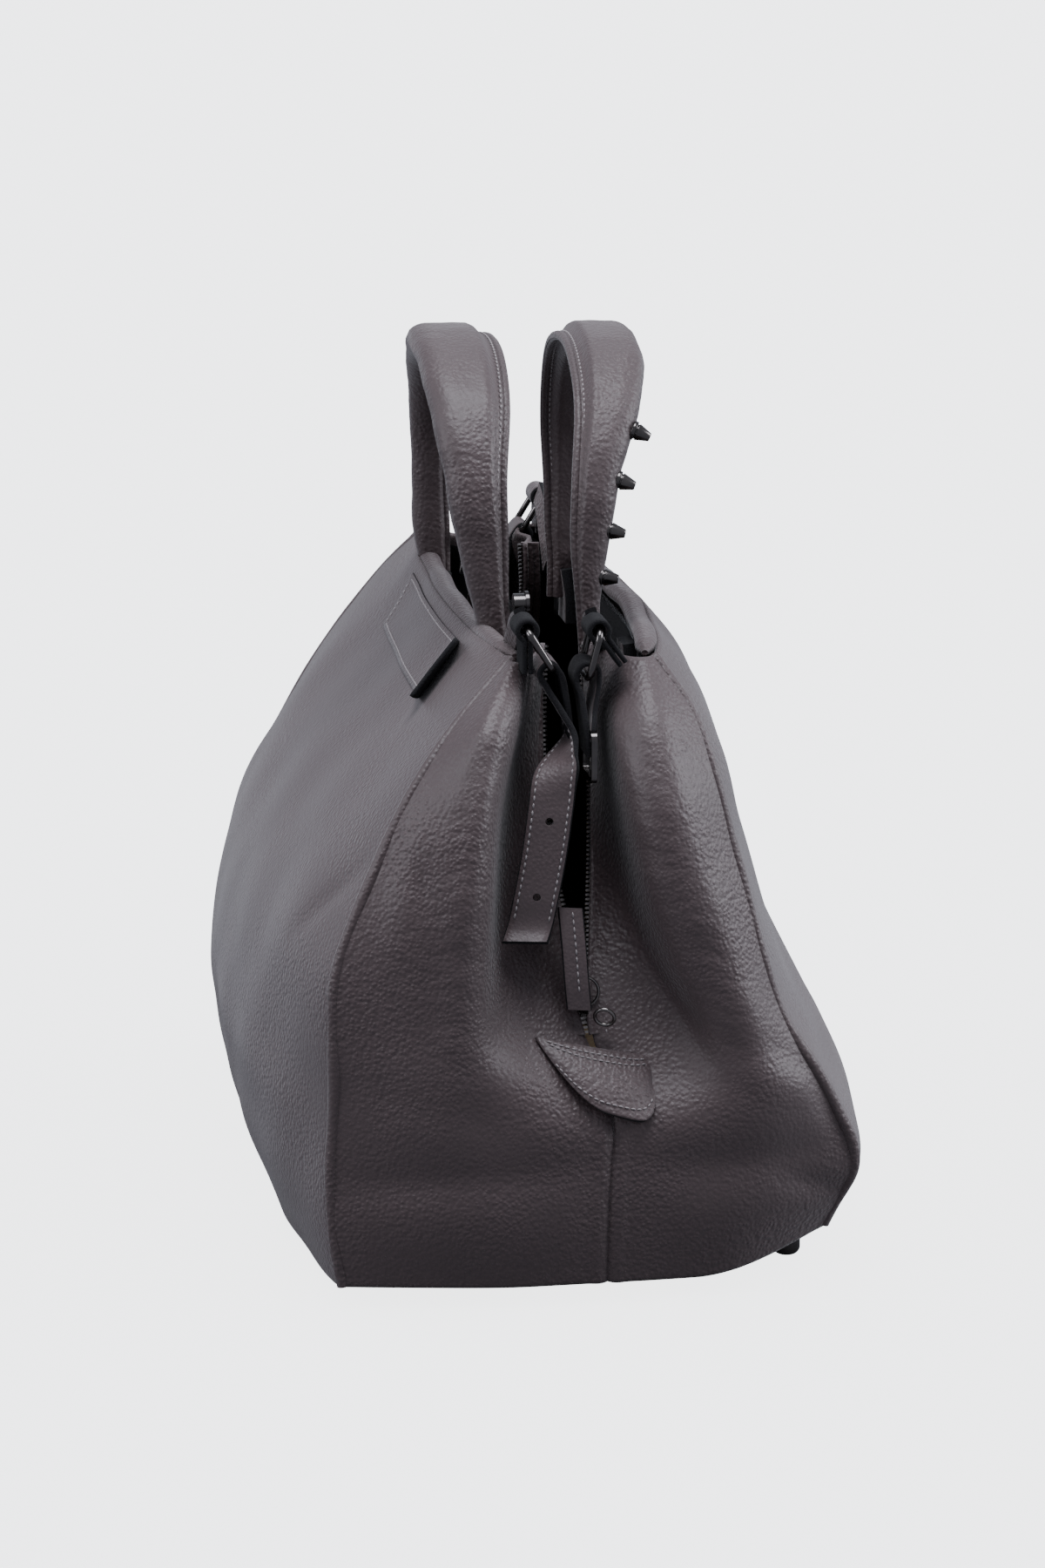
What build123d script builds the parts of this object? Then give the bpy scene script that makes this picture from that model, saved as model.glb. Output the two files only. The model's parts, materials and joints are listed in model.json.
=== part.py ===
from build123d import *
import math
import os

# Slouchy leather handbag with two top handles, a long open zip that runs down both ends,
# folded gussets, and a small buckled belt between two rings at each end.
# Frame: X is the bag's length, Y its depth (+Y is the plain back), Z up, feet on Z = 0.
# Millimetres.

# Overall sizes
base_length = 400.0
base_width = 216.0
rim_height = 262.0
rim_length = 304.0
rim_width = 56.0
handle_top = 384.0

# Leather, lining and seams
leather = 2.0
seam = 1.5
lining_thickness = 0.6
lining_gap = 0.2
sewn_gap = 0.1
facing_depth = 34.0
facing_leather = 1.5
facing_end_gap = 28.0
placket_end_gap = 36.0
placket_below_rim = 6.0
placket_above_facing = 4.0

# Base and feet
foot_height = 8.0
foot_radius = 6.0
shank_radius = 1.5
shank_clearance = 0.1
foot_inset_x = 42.0
foot_inset_y = 20.0
board_thickness = 2.5
washer_radius = 6.0
washer_thickness = 1.0
washer_clearance = 0.5
foot_rounding = 3.2

# Zip
slot_half = 1.6
valley_shift = 6.0
strip_half_width = 9.0
strip_leather = 1.6
strip_standoff = 12.0
strip_radius = 390.0
strip_bottom = 112.0
teeth_width = 1.6
teeth_height = 2.2
slider_length = 12.0
slider_half_width = 6.0
slider_plate = 1.4
slider_clearance = 0.3
bridge_length = 8.0
bridge_height = 5.5
bridge_wall = 1.5
pull_wire = 1.3
pull_ring_radius = 6.5
puller_length = 42.0
puller_width = 10.0
puller_leather = 3.2
tab_width = 52.0
tab_drop = 26.0
tab_leather = 3.0
tab_standoff = 11.0
tab_below_zip = 2.0
slider_rise = 0.6

# Handles
handle_half_length = 87.0
handle_thickness = 10.0
handle_width = 38.0
handle_root_width = 16.0
handle_root_y = 29.0
handle_top_y = 33.0
handle_wrap = 2.0
hinge_above_rim = 9.0
leg_height = 29.0
handle_flare_gap = 24.65
anchor_width = 24.0
anchor_depth = 10.0
anchor_gap = 0.7
stud_radius = 4.0
stud_height = 6.5
stud_tip_radius = 1.2
stud_spacing = 22.0
first_stud_rise = 16.0
studs_per_leg = 4

# Rings and their leather loops
ring_wire = 3.0
ring_inner = 20.5
ring_reach = 20.0
ring_corner = 4.5
ring_bar_corner = 3.6
loop_side_gap = 1.0
loop_radius = 5.5
loop_bore = 3.0
tail_share = 0.5
ring_x = 163.0
sewn_tail_length = 28.0
back_bar_y = 27.0
back_bar_z = 18.0
back_ring_angle = 32.0
front_bar_y = -3.0
front_bar_z = 17.0
front_ring_angle = -14.0

# Belts
strap_width = 19.0
strap_thickness = 2.6
strap_loop_bore = 4.6
strap_loop_radius = 6.8
loop_play = 1.3
front_loop_sag = 0.36
loop_neck = 1.0
tail_width = 20.0
tail_length = 79.0
hole_radius = 1.6
hole_spacing = 35.0
buckle_height = 22.0
buckle_width = 25.0
buckle_wire = 2.4
buckle_outward = 8.0
buckle_forward = 1.0
buckle_drop = 22.0
buckle_corner = 4.0
buckle_inner_corner = 2.0
strap_gap = 1.0
strap_over_buckle = 2.0
tail_outward = 14.0
tail_drop = 4.0
tail_shift = 11.0
tail_slant_x = 7.0
tail_slant_y = 12.0
twist_drop = 10.0
first_hole_share = 0.33
prong_radius = 0.9
prong_gap = 0.2
prong_end_gap = 1.5
prong_length = 18.3

# Handle rivets and back tab
rivet_radius = 4.5
rivet_length = 5.0
rivet_flange_radius = 5.5
rivet_flange = 1.5
rivet_above_hinge = 4.0
patch_length = 154.0
patch_middle_x = 67.0
patch_height = 30.0
patch_leather = 2.0

# Shape of the shell from the base to the rim. Each level holds: share of the shell's height,
# taper of the corner in x, taper of the corner in y (0 at the base, 1 at the rim), outward
# bulge of the long panels, outward bulge of the gussets, depth of the gusset's fold, and
# half the width of the zip's slot as a share of its full half width.
levels = [
    (0.00, 0.00, 0.00, 14.0, 7.0, 1.0, 0.0),
    (0.20, 0.00, -0.02, 26.0, 7.0, 0.0, 0.0),
    (0.30, 0.00, -0.03, 27.0, 7.0, 2.0, 0.0),
    (0.40, 0.00, -0.03, 27.0, 8.0, 30.0, 1.0),
    (0.56, 0.02, 0.00, 24.0, 7.0, 56.0, 1.0),
    (0.77, 0.25, 0.33, 22.0, 14.0, 72.0, 1.0),
    (0.91, 0.58, 0.65, 18.0, 12.0, 62.0, 1.0),
    (1.00, 1.00, 1.00, 20.0, -6.0, 28.0, 1.0),
]

# Derived heights
shell_bottom = foot_height + leather
board_top = shell_bottom + board_thickness
lining_bottom = board_top + washer_thickness + washer_clearance
facing_bottom = rim_height - facing_depth
hinge_z = rim_height + hinge_above_rim

os.makedirs("parts", exist_ok=True)


def finish(part, name):
    """Name one finished piece and write it out."""
    part.part.label = name
    export_step(part.part, f"parts/{name}.step")


def level_at(height):
    """Shape values of the shell at a height, in a straight line between two levels."""
    share = (height - shell_bottom) / (rim_height - shell_bottom)
    share = min(max(share, 0.0), 1.0)
    for low, high in zip(levels, levels[1:]):
        if share <= high[0]:
            step = (share - low[0]) / (high[0] - low[0])
            return [a + (b - a) * step for a, b in zip(low, high)]
    return list(levels[-1])


def corner_at(height):
    """Corner of the shell's outline, in the quarter where x and y are positive."""
    level = level_at(height)
    x = base_length / 2 + (rim_length - base_length) / 2 * level[1]
    y = base_width / 2 + (rim_width - base_width) / 2 * level[2]
    return x, y


def valley_at(height):
    """Distance of the gusset's folded centre from the middle of the bag."""
    level = level_at(height)
    return corner_at(height)[0] + level[4] - level[5]


def panel_ends(height, depth):
    """End and middle of a long panel's curve, a depth inside its outer face."""
    x, y = corner_at(height)
    middle = y + level_at(height)[3] - depth
    if depth <= 0:
        return (x - seam, y - depth), middle
    return (x - seam - depth, y - seam - depth), middle


def gusset_curve(height, depth, sx, sy, opened=None):
    """Four control points of half a gusset's curve, from its corner to the zip's slot."""
    x, y = corner_at(height)
    level = level_at(height)
    valley = valley_at(height)
    crest = x + level[4] + 0.35 * level[5]
    half_slot = slot_half * (level[6] if opened is None else opened)
    shift = -sx * valley_shift
    start = (x, y - seam) if depth == 0 else (x - seam - depth, y - seam - depth)
    reach = 0.4 * y + 2.0 + 1.5 * depth
    return [
        (sx * start[0], sy * start[1]),
        (sx * (crest - 1.5 * depth), sy * (0.75 * y + 0.5 * depth)),
        (sx * (valley - depth), shift + sy * reach),
        (sx * (valley - depth), shift + sy * half_slot),
    ]


def shell_heights():
    """Heights of the shell's levels."""
    return [shell_bottom + level[0] * (rim_height - shell_bottom) for level in levels]


# --- Long panels -----------------------------------------------------------------------

def make_panel(sy):
    """One long side of the bag, bowed outward at the belly and drawn in at the rim."""
    with BuildPart() as panel:
        for height in shell_heights():
            outer, outer_middle = panel_ends(height, 0)
            inner, inner_middle = panel_ends(height, leather)
            with BuildSketch(Plane.XY.offset(height)):
                with BuildLine():
                    ThreePointArc(
                        (-outer[0], sy * outer[1]),
                        (0, sy * outer_middle),
                        (outer[0], sy * outer[1]),
                    )
                    Line((outer[0], sy * outer[1]), (inner[0], sy * inner[1]))
                    ThreePointArc(
                        (inner[0], sy * inner[1]),
                        (0, sy * inner_middle),
                        (-inner[0], sy * inner[1]),
                    )
                    Line((-inner[0], sy * inner[1]), (-outer[0], sy * outer[1]))
                make_face()
        loft(ruled=True)
    return panel


back_panel = make_panel(1)
finish(back_panel, "back_panel")
front_panel = make_panel(-1)
finish(front_panel, "front_panel")


# --- Gussets ---------------------------------------------------------------------------

def make_gusset(sx, sy):
    """Half of an end of the bag, from the corner seam over its lobe into the fold."""
    with BuildPart() as gusset:
        for height in shell_heights():
            outer = gusset_curve(height, 0, sx, sy)
            inner = gusset_curve(height, leather, sx, sy)
            with BuildSketch(Plane.XY.offset(height)):
                with BuildLine():
                    Bezier(*outer)
                    Line(outer[3], inner[3])
                    Bezier(*reversed(inner))
                    Line(inner[0], outer[0])
                make_face()
        loft(ruled=True)
    return gusset


ends = {"left": -1, "right": 1}
sides = {"back": 1, "front": -1}

for end_name, sx in ends.items():
    for side_name, sy in sides.items():
        gusset_half = make_gusset(sx, sy)
        finish(gusset_half, f"gusset_{end_name}_{side_name}")


# --- Corner piping ---------------------------------------------------------------------

def make_piping(sx, sy):
    """Turned seam roll between a long panel and a gusset."""
    with BuildPart() as piping:
        for height in shell_heights():
            x, y = corner_at(height)
            points = [
                (sx * (x - seam), sy * y),
                (sx * (x + seam), sy * (y + seam)),
                (sx * x, sy * (y - seam)),
                (sx * (x - seam - leather), sy * (y - seam - leather)),
            ]
            with BuildSketch(Plane.XY.offset(height)):
                with BuildLine():
                    Polyline(*points, close=True)
                make_face()
        loft(ruled=True)
    return piping


for end_name, sx in ends.items():
    for side_name, sy in sides.items():
        corner_piping = make_piping(sx, sy)
        finish(corner_piping, f"piping_{end_name}_{side_name}")


# --- Base ------------------------------------------------------------------------------

def outline(height, depth):
    """Closed outline of the bag at a height, a depth inside its outer face."""
    ends_xy, middle = panel_ends(height, depth)
    for sy in (1, -1):
        ThreePointArc(
            (-ends_xy[0], sy * ends_xy[1]), (0, sy * middle), (ends_xy[0], sy * ends_xy[1])
        )
    for sx in (1, -1):
        back = gusset_curve(height, depth, sx, 1, opened=1)
        front = gusset_curve(height, depth, sx, -1, opened=1)
        Bezier(*back)
        Line(back[3], front[3])
        Bezier(*front)


foot_spots = [
    (sx * (base_length / 2 - foot_inset_x), sy * (base_width / 2 - foot_inset_y))
    for sx in (-1, 1)
    for sy in (-1, 1)
]

with BuildPart() as base_panel:
    with BuildSketch(Plane.XY.offset(foot_height)):
        with BuildLine():
            outline(shell_bottom, sewn_gap)
        make_face()
        with Locations(*foot_spots):
            Circle(shank_radius + shank_clearance, mode=Mode.SUBTRACT)
    extrude(amount=leather)
finish(base_panel, "base_panel")

with BuildPart() as base_board:
    with BuildSketch(Plane.XY.offset(shell_bottom)):
        with BuildLine():
            outline(shell_bottom, leather + lining_gap)
        make_face()
        with Locations(*foot_spots):
            Circle(shank_radius + shank_clearance, mode=Mode.SUBTRACT)
    extrude(amount=board_thickness)
finish(base_board, "base_board")

with BuildPart() as feet:
    with Locations(*foot_spots):
        Cylinder(
            foot_radius, foot_height, align=(Align.CENTER, Align.CENTER, Align.MIN)
        )
    fillet(feet.edges().group_by(Axis.Z)[0], foot_rounding)
    with Locations(*[(x, y, foot_height) for x, y in foot_spots]):
        Cylinder(
            shank_radius,
            leather + board_thickness + washer_thickness,
            align=(Align.CENTER, Align.CENTER, Align.MIN),
        )
finish(feet, "feet")

with BuildPart() as foot_washers:
    with BuildSketch(Plane.XY.offset(board_top)):
        with Locations(*foot_spots):
            Circle(washer_radius)
            Circle(shank_radius + shank_clearance, mode=Mode.SUBTRACT)
    extrude(amount=washer_thickness)
finish(foot_washers, "foot_washers")


# --- Lining ----------------------------------------------------------------------------

def make_pouch(depth, low):
    """Solid that fills the shell from a height to its rim, a depth inside its outer face."""
    with BuildPart() as pouch:
        for height in [low] + [height for height in shell_heights() if height > low]:
            with BuildSketch(Plane.XY.offset(height)):
                with BuildLine():
                    outline(height, depth)
                make_face()
        loft(ruled=True)
    return pouch


lining_outer = make_pouch(leather + lining_gap, lining_bottom)
lining_inner = make_pouch(
    leather + lining_gap + lining_thickness, lining_bottom + lining_thickness
)
with BuildPart() as lining:
    add(lining_outer.part)
    add(lining_inner.part, mode=Mode.SUBTRACT)
finish(lining, "lining")


# --- Bands that follow the rim ---------------------------------------------------------

def rim_band(sy, outer_depth, inner_depth, low, high, left, right):
    """Upright band along the rim between two depths, two heights and two places in x."""
    outer, outer_middle = panel_ends(rim_height, outer_depth)
    inner, inner_middle = panel_ends(rim_height, inner_depth)
    with BuildPart() as band:
        with BuildSketch(Plane.XY.offset(low)):
            with BuildLine():
                ThreePointArc(
                    (-outer[0], sy * outer[1]), (0, sy * outer_middle), (outer[0], sy * outer[1])
                )
                Line((outer[0], sy * outer[1]), (inner[0], sy * inner[1]))
                ThreePointArc(
                    (inner[0], sy * inner[1]), (0, sy * inner_middle), (-inner[0], sy * inner[1])
                )
                Line((-inner[0], sy * inner[1]), (-outer[0], sy * outer[1]))
            make_face()
            with Locations(((left + right) / 2, 0)):
                Rectangle(right - left, base_width, mode=Mode.INTERSECT)
        extrude(amount=high - low)
    return band


facing_outer = leather + lining_gap + lining_thickness + sewn_gap
facing_inner = facing_outer + facing_leather
placket_outer = facing_inner + sewn_gap
placket_inner = placket_outer + strip_leather
facing_half_length = rim_length / 2 - facing_end_gap
placket_half_length = rim_length / 2 - placket_end_gap
placket_top = rim_height - placket_below_rim
placket_bottom = facing_bottom + placket_above_facing

for side_name, sy in sides.items():
    facing = rim_band(
        sy, facing_outer, facing_inner, facing_bottom, rim_height,
        -facing_half_length, facing_half_length,
    )
    finish(facing, f"rim_facing_{side_name}")
    placket = rim_band(
        sy, placket_outer, placket_inner, placket_bottom, placket_top,
        -placket_half_length, placket_half_length,
    )
    finish(placket, f"zip_placket_{side_name}")
    mouth_teeth = rim_band(
        sy, placket_outer, placket_inner, placket_top, placket_top + teeth_height,
        -placket_half_length, placket_half_length,
    )
    finish(mouth_teeth, f"zip_teeth_{side_name}")


# --- Handles ---------------------------------------------------------------------------

leg_foot_z = hinge_z - handle_root_width / 2
arch_z = hinge_z + leg_height
arch_height = handle_top - arch_z
band_half = handle_thickness / 2
anchor_inner = placket_inner + sewn_gap + anchor_depth


def arch_sketch(inset):
    """Upright arch of a handle, thinned by an inset on each face."""
    outer = band_half - inset
    with Locations((0, arch_z)):
        Ellipse(handle_half_length + outer, arch_height - band_half + outer)
    with Locations((0, arch_z)):
        Rectangle(
            2 * (handle_half_length + outer), 2 * leg_height + handle_root_width,
            align=(Align.CENTER, Align.MAX),
        )
    with Locations((0, arch_z)):
        Ellipse(
            handle_half_length - outer, arch_height - band_half - outer, mode=Mode.SUBTRACT
        )
    with Locations((0, arch_z)):
        Rectangle(
            2 * (handle_half_length - outer), 4 * leg_height,
            align=(Align.CENTER, Align.MAX), mode=Mode.SUBTRACT,
        )
    with Locations((0, leg_foot_z)):
        Rectangle(
            3 * handle_half_length, 2 * handle_top,
            align=(Align.CENTER, Align.MIN), mode=Mode.INTERSECT,
        )


def side_outline(sy, inset):
    """Side view of a handle: a rounded narrow root that widens to the grip."""
    root = handle_root_width / 2 - inset
    grip = handle_width / 2 - inset
    low = hinge_z + handle_flare_gap
    high = handle_top - handle_flare_gap
    ThreePointArc(
        (sy * handle_root_y - root, hinge_z),
        (sy * handle_root_y, hinge_z - root),
        (sy * handle_root_y + root, hinge_z),
    )
    Polyline(
        (sy * handle_root_y + root, hinge_z),
        (sy * handle_root_y + root, low),
        (sy * handle_top_y + grip, high),
        (sy * handle_top_y + grip, handle_top + 1),
        (sy * handle_top_y - grip, handle_top + 1),
        (sy * handle_top_y - grip, high),
        (sy * handle_root_y - root, low),
        (sy * handle_root_y - root, hinge_z),
    )


def make_arch(sy, inset):
    """A handle, or its core where the inset is more than nothing."""
    with BuildPart() as arch:
        with BuildSketch(Plane.XZ):
            arch_sketch(inset)
        extrude(amount=handle_width * 2, both=True)
        with BuildSketch(Plane.YZ):
            with BuildLine():
                side_outline(sy, inset)
            make_face()
        extrude(amount=handle_half_length * 2, both=True, mode=Mode.INTERSECT)
    return arch


for side_name, sy in sides.items():
    core = make_arch(sy, handle_wrap)
    whole = make_arch(sy, 0)
    with BuildPart() as wrap:
        add(whole.part)
        add(core.part, mode=Mode.SUBTRACT)
    finish(wrap, f"handle_wrap_{side_name}")
    finish(core, f"handle_core_{side_name}")
    with BuildPart() as anchors:
        for sx in (-1, 1):
            anchor = rim_band(
                sy, placket_inner + sewn_gap, anchor_inner,
                placket_bottom, leg_foot_z - anchor_gap,
                sx * handle_half_length - anchor_width / 2,
                sx * handle_half_length + anchor_width / 2,
            )
            add(anchor.part)
    finish(anchors, f"handle_anchor_{side_name}")


def side_point(height):
    """Place and outward tilt of the front handle's outer edge at a height."""
    low = hinge_z + handle_flare_gap
    high = handle_top - handle_flare_gap
    root = handle_root_y + handle_root_width / 2
    grip = handle_top_y + handle_width / 2
    if height <= low:
        return root, 0.0
    slope = (grip - root) / (high - low)
    return root + slope * (height - low), math.atan(slope)


with BuildPart() as handle_studs:
    for sx in (-1, 1):
        for step in range(studs_per_leg):
            height = hinge_z + first_stud_rise + step * stud_spacing
            y, tilt = side_point(height)
            rise = max(height - arch_z, 0.0) / (arch_height - band_half)
            x = sx * handle_half_length * math.sqrt(max(1 - rise**2, 0.0))
            face = Plane(
                origin=(x, -y, height),
                x_dir=(1, 0, 0),
                z_dir=(0, -math.cos(tilt), -math.sin(tilt)),
            )
            with BuildSketch(face):
                Circle(stud_radius)
            with BuildSketch(face.offset(stud_height)):
                Circle(stud_tip_radius)
            loft(ruled=True)
finish(handle_studs, "handle_studs")


# --- Rings and the leather loops that hold them ------------------------------------------

# Each end has a ring beside each rim. Name, place of its bar, and lean of the ring.
ring_seats = {
    "back": (back_bar_y, rim_height + back_bar_z, back_ring_angle),
    "front": (front_bar_y, rim_height + front_bar_z, front_ring_angle),
}
loop_length = ring_inner - 2 * loop_side_gap
bar_run = ring_inner + ring_wire


def ring_foot(seat):
    """Place of the ring's lower run."""
    y, z, lean = ring_seats[seat]
    angle = math.radians(lean)
    return y - ring_reach * math.sin(angle), z - ring_reach * math.cos(angle)


def turned(part, sx):
    """The left end's piece, or a copy turned half a turn for the right end."""
    with BuildPart() as copy:
        if sx < 0:
            add(part.part)
        else:
            add(part.part, rotation=(0, 0, 180))
    return copy


def make_ring(seat):
    """Bent wire ring of the left end, its bar inside the leather loop."""
    y, z, lean = ring_seats[seat]
    angle = math.radians(lean)
    hang = (0, -math.sin(angle), -math.cos(angle))
    flat = Plane(
        origin=(-ring_x, y, z), x_dir=(1, 0, 0), z_dir=Vector(1, 0, 0).cross(Vector(*hang))
    )
    half = bar_run / 2
    with BuildPart() as ring:
        with BuildLine(flat) as path:
            FilletPolyline(
                (-half, 0), (half, 0), (half, ring_reach), (-half, ring_reach),
                radius=[ring_bar_corner, ring_bar_corner, ring_corner, ring_corner], close=True,
            )
        start = path.wire().position_at(0)
        along = path.wire().tangent_at(0)
        with BuildSketch(Plane(origin=start, z_dir=along)):
            Circle(ring_wire / 2)
        sweep()
    return ring


def make_chape(seat):
    """Leather loop of the left end, with the tail that is sewn along the rim."""
    y, z, lean = ring_seats[seat]
    side = 1 if seat == "back" else -1
    foot_y = side * (rim_width / 2 - leather / 2)
    foot_z = rim_height + sewn_gap
    low_y = foot_y + (y - foot_y) * tail_share
    low_z = foot_z + (z - foot_z) * tail_share
    loop_end = -ring_x + loop_length / 2
    with BuildPart() as chape:
        with BuildSketch(Plane.YZ.offset(-ring_x)):
            with Locations((y, z)):
                Circle(loop_radius)
            with BuildLine():
                Polyline(
                    (y - leather, z), (y + leather, z),
                    (foot_y + leather, foot_z), (foot_y - leather, foot_z), close=True,
                )
            make_face()
            with Locations((y, z)):
                Circle(loop_bore, mode=Mode.SUBTRACT)
        extrude(amount=loop_length / 2, both=True)
        with BuildSketch(Plane.YZ.offset(loop_end)):
            with BuildLine():
                Polyline(
                    (low_y - leather, low_z), (low_y + leather, low_z),
                    (foot_y + leather, foot_z), (foot_y - leather, foot_z), close=True,
                )
            make_face()
        extrude(amount=sewn_tail_length)
    return chape


other_side = {"back": "front", "front": "back"}

for seat in ring_seats:
    ring = make_ring(seat)
    chape = make_chape(seat)
    for end_name, sx in ends.items():
        side_name = seat if sx < 0 else other_side[seat]
        finish(turned(ring, sx), f"ring_{end_name}_{side_name}")
        finish(turned(chape, sx), f"ring_loop_{end_name}_{side_name}")


# --- Belts -----------------------------------------------------------------------------

back_foot_y, back_foot_z = ring_foot("back")
front_foot_y, front_foot_z = ring_foot("front")
loop_drop = strap_loop_bore - ring_wire / 2 - loop_play
back_loop_z = back_foot_z - loop_drop
front_loop_z = front_foot_z - front_loop_sag
buckle_x = ring_x + buckle_outward
buckle_y = front_foot_y - buckle_forward
buckle_top_z = front_foot_z - buckle_drop
strap_y = buckle_y + buckle_wire + strap_thickness + strap_gap
tail_x = buckle_x + tail_outward
tail_top_z = buckle_top_z - tail_drop
tail_y = strap_y + tail_shift
tail_end_y = tail_y + tail_slant_y
tail_end_x = tail_x + tail_slant_x
tail_end_z = tail_top_z - tail_length


def hanging_strap(levels_down):
    """Strap through level sections, each with its place and its sizes in x and y."""
    with BuildPart() as strap:
        for x, y, z, along_x, along_y in levels_down:
            with BuildSketch(Plane.XY.offset(z)):
                with Locations((x, y)):
                    Rectangle(along_x, along_y)
        loft(ruled=True)
    return strap


def strap_loop(y, z):
    """Folded end of a strap round a ring's lower run."""
    with BuildPart() as folded:
        with BuildSketch(Plane.YZ.offset(-ring_x)):
            with Locations((y, z)):
                Circle(strap_loop_radius)
                Circle(strap_loop_bore, mode=Mode.SUBTRACT)
        extrude(amount=strap_width / 2, both=True)
    return folded


def twisted_strap(high, low):
    """Strap between a section whose wide side is along X and one where it is along Y."""
    x, y, z, wide = high
    low_x, low_y, low_z, low_wide = low
    half = strap_thickness / 2
    with BuildPart() as twist:
        with BuildSketch(Plane.XY.offset(z)):
            with BuildLine():
                Polyline(
                    (x - wide / 2, y - half), (x + wide / 2, y - half),
                    (x + wide / 2, y + half), (x - wide / 2, y + half), close=True,
                )
            make_face()
        with BuildSketch(Plane.XY.offset(low_z)):
            with BuildLine():
                Polyline(
                    (low_x + half, low_y - low_wide / 2), (low_x + half, low_y + low_wide / 2),
                    (low_x - half, low_y + low_wide / 2), (low_x - half, low_y - low_wide / 2),
                    close=True,
                )
            make_face()
        loft(ruled=True)
    return twist


punched_loop = strap_loop(back_foot_y, back_loop_z)
punched_run = hanging_strap([
    (-ring_x, back_foot_y, back_loop_z - strap_loop_bore - loop_neck, strap_width, strap_thickness),
    (-buckle_x, strap_y, buckle_top_z + strap_over_buckle, strap_width, strap_thickness),
])
punched_twist = twisted_strap(
    (-buckle_x, strap_y, buckle_top_z + strap_over_buckle, strap_width),
    (-tail_x, tail_y, tail_top_z - twist_drop, tail_width),
)
punched_tail = hanging_strap([
    (-tail_x, tail_y, tail_top_z - twist_drop, strap_thickness, tail_width),
    (-tail_end_x, tail_end_y, tail_end_z, strap_thickness, tail_width),
])
with BuildPart() as punched_strap:
    add(punched_loop.part)
    add(punched_run.part)
    add(punched_twist.part)
    add(punched_tail.part)
    for step in range(2):
        share = first_hole_share + step * hole_spacing / tail_length
        hole_y = tail_y + (tail_end_y - tail_y) * share
        hole_x = -tail_x - (tail_end_x - tail_x) * share
        hole_z = tail_top_z + (tail_end_z - tail_top_z) * share
        with BuildSketch(Plane.YZ.offset(hole_x)):
            with Locations((hole_y, hole_z)):
                Circle(hole_radius)
        extrude(amount=tail_width / 4, both=True, mode=Mode.SUBTRACT)

buckle_loop = strap_loop(front_foot_y, front_loop_z)
buckle_run = hanging_strap([
    (-ring_x, front_foot_y, front_loop_z - strap_loop_bore - loop_neck, strap_width, strap_thickness),
    (-buckle_x, buckle_y, buckle_top_z + buckle_wire / 2 + sewn_gap, strap_width, strap_thickness),
])
with BuildPart() as buckle_strap:
    add(buckle_loop.part)
    add(buckle_run.part)

with BuildPart() as buckle_frame:
    with BuildSketch(Plane.XZ.offset(-buckle_y + buckle_wire / 2)):
        with Locations((-buckle_x, buckle_top_z + buckle_wire / 2)):
            RectangleRounded(
                buckle_width, buckle_height, buckle_corner, align=(Align.CENTER, Align.MAX)
            )
        with Locations((-buckle_x, buckle_top_z - buckle_wire / 2)):
            RectangleRounded(
                buckle_width - 2 * buckle_wire, buckle_height - 2 * buckle_wire,
                buckle_inner_corner,
                align=(Align.CENTER, Align.MAX), mode=Mode.SUBTRACT,
            )
    extrude(amount=-buckle_wire)

prong_y = buckle_y - buckle_wire / 2 - prong_radius - prong_gap
with BuildPart() as buckle_prong:
    with BuildSketch(Plane.XY.offset(buckle_top_z - buckle_height + prong_end_gap)):
        with Locations((-buckle_x, prong_y)):
            Circle(prong_radius)
    extrude(amount=prong_length)

belt_pieces = {
    "belt_strap": punched_strap,
    "belt_buckle_strap": buckle_strap,
    "belt_buckle": buckle_frame,
    "belt_prong": buckle_prong,
}
for piece_name, piece in belt_pieces.items():
    for end_name, sx in ends.items():
        finish(turned(piece, sx), f"{piece_name}_{end_name}")


# --- Zip down each end -------------------------------------------------------------------

# The strips follow an arc in the plane of X and Z. Its centre lies outside the left end.
strip_top_x = -(valley_at(rim_height) + strip_standoff)
strip_low_x = -(valley_at(strip_bottom) + strip_standoff)
chord_x = strip_top_x - strip_low_x
chord_z = rim_height - strip_bottom
chord = math.hypot(chord_x, chord_z)
to_centre = math.sqrt(strip_radius**2 - chord**2 / 4)
arc_x = (strip_top_x + strip_low_x) / 2 - to_centre * chord_z / chord
arc_z = (rim_height + strip_bottom) / 2 + to_centre * chord_x / chord
low_angle = math.degrees(math.atan2(strip_bottom - arc_z, strip_low_x - arc_x))
top_angle = math.degrees(math.atan2(rim_height - arc_z, strip_top_x - arc_x))
arc_axis = Axis((arc_x, 0, arc_z), (0, -1, 0))


def arc_plane(angle):
    """Plane through the arc's centre: its x runs outward along the radius, its y along Y."""
    turn = math.radians(angle)
    return Plane(
        origin=(arc_x, 0, arc_z),
        x_dir=(math.cos(turn), 0, math.sin(turn)),
        z_dir=(-math.sin(turn), 0, math.cos(turn)),
    )


def arc_bar(centre_radius, centre_y, thickness, width, start, sweep_angle):
    """Flat bar along the zip's arc."""
    with BuildPart() as bar:
        with BuildSketch(arc_plane(start)):
            with Locations((centre_radius, centre_y)):
                Rectangle(thickness, width)
        revolve(axis=arc_axis, revolution_arc=sweep_angle)
    return bar


strip_inner_edge = slot_half + teeth_width
strip_width = strip_half_width - strip_inner_edge
for side_name, sy in sides.items():
    strip = arc_bar(
        strip_radius, valley_shift + sy * (strip_inner_edge + strip_width / 2),
        strip_leather, strip_width, low_angle, top_angle - low_angle,
    )
    for end_name, sx in ends.items():
        strip_side = side_name if sx < 0 else other_side[side_name]
        finish(turned(strip, sx), f"zip_strip_{end_name}_{strip_side}")

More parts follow.
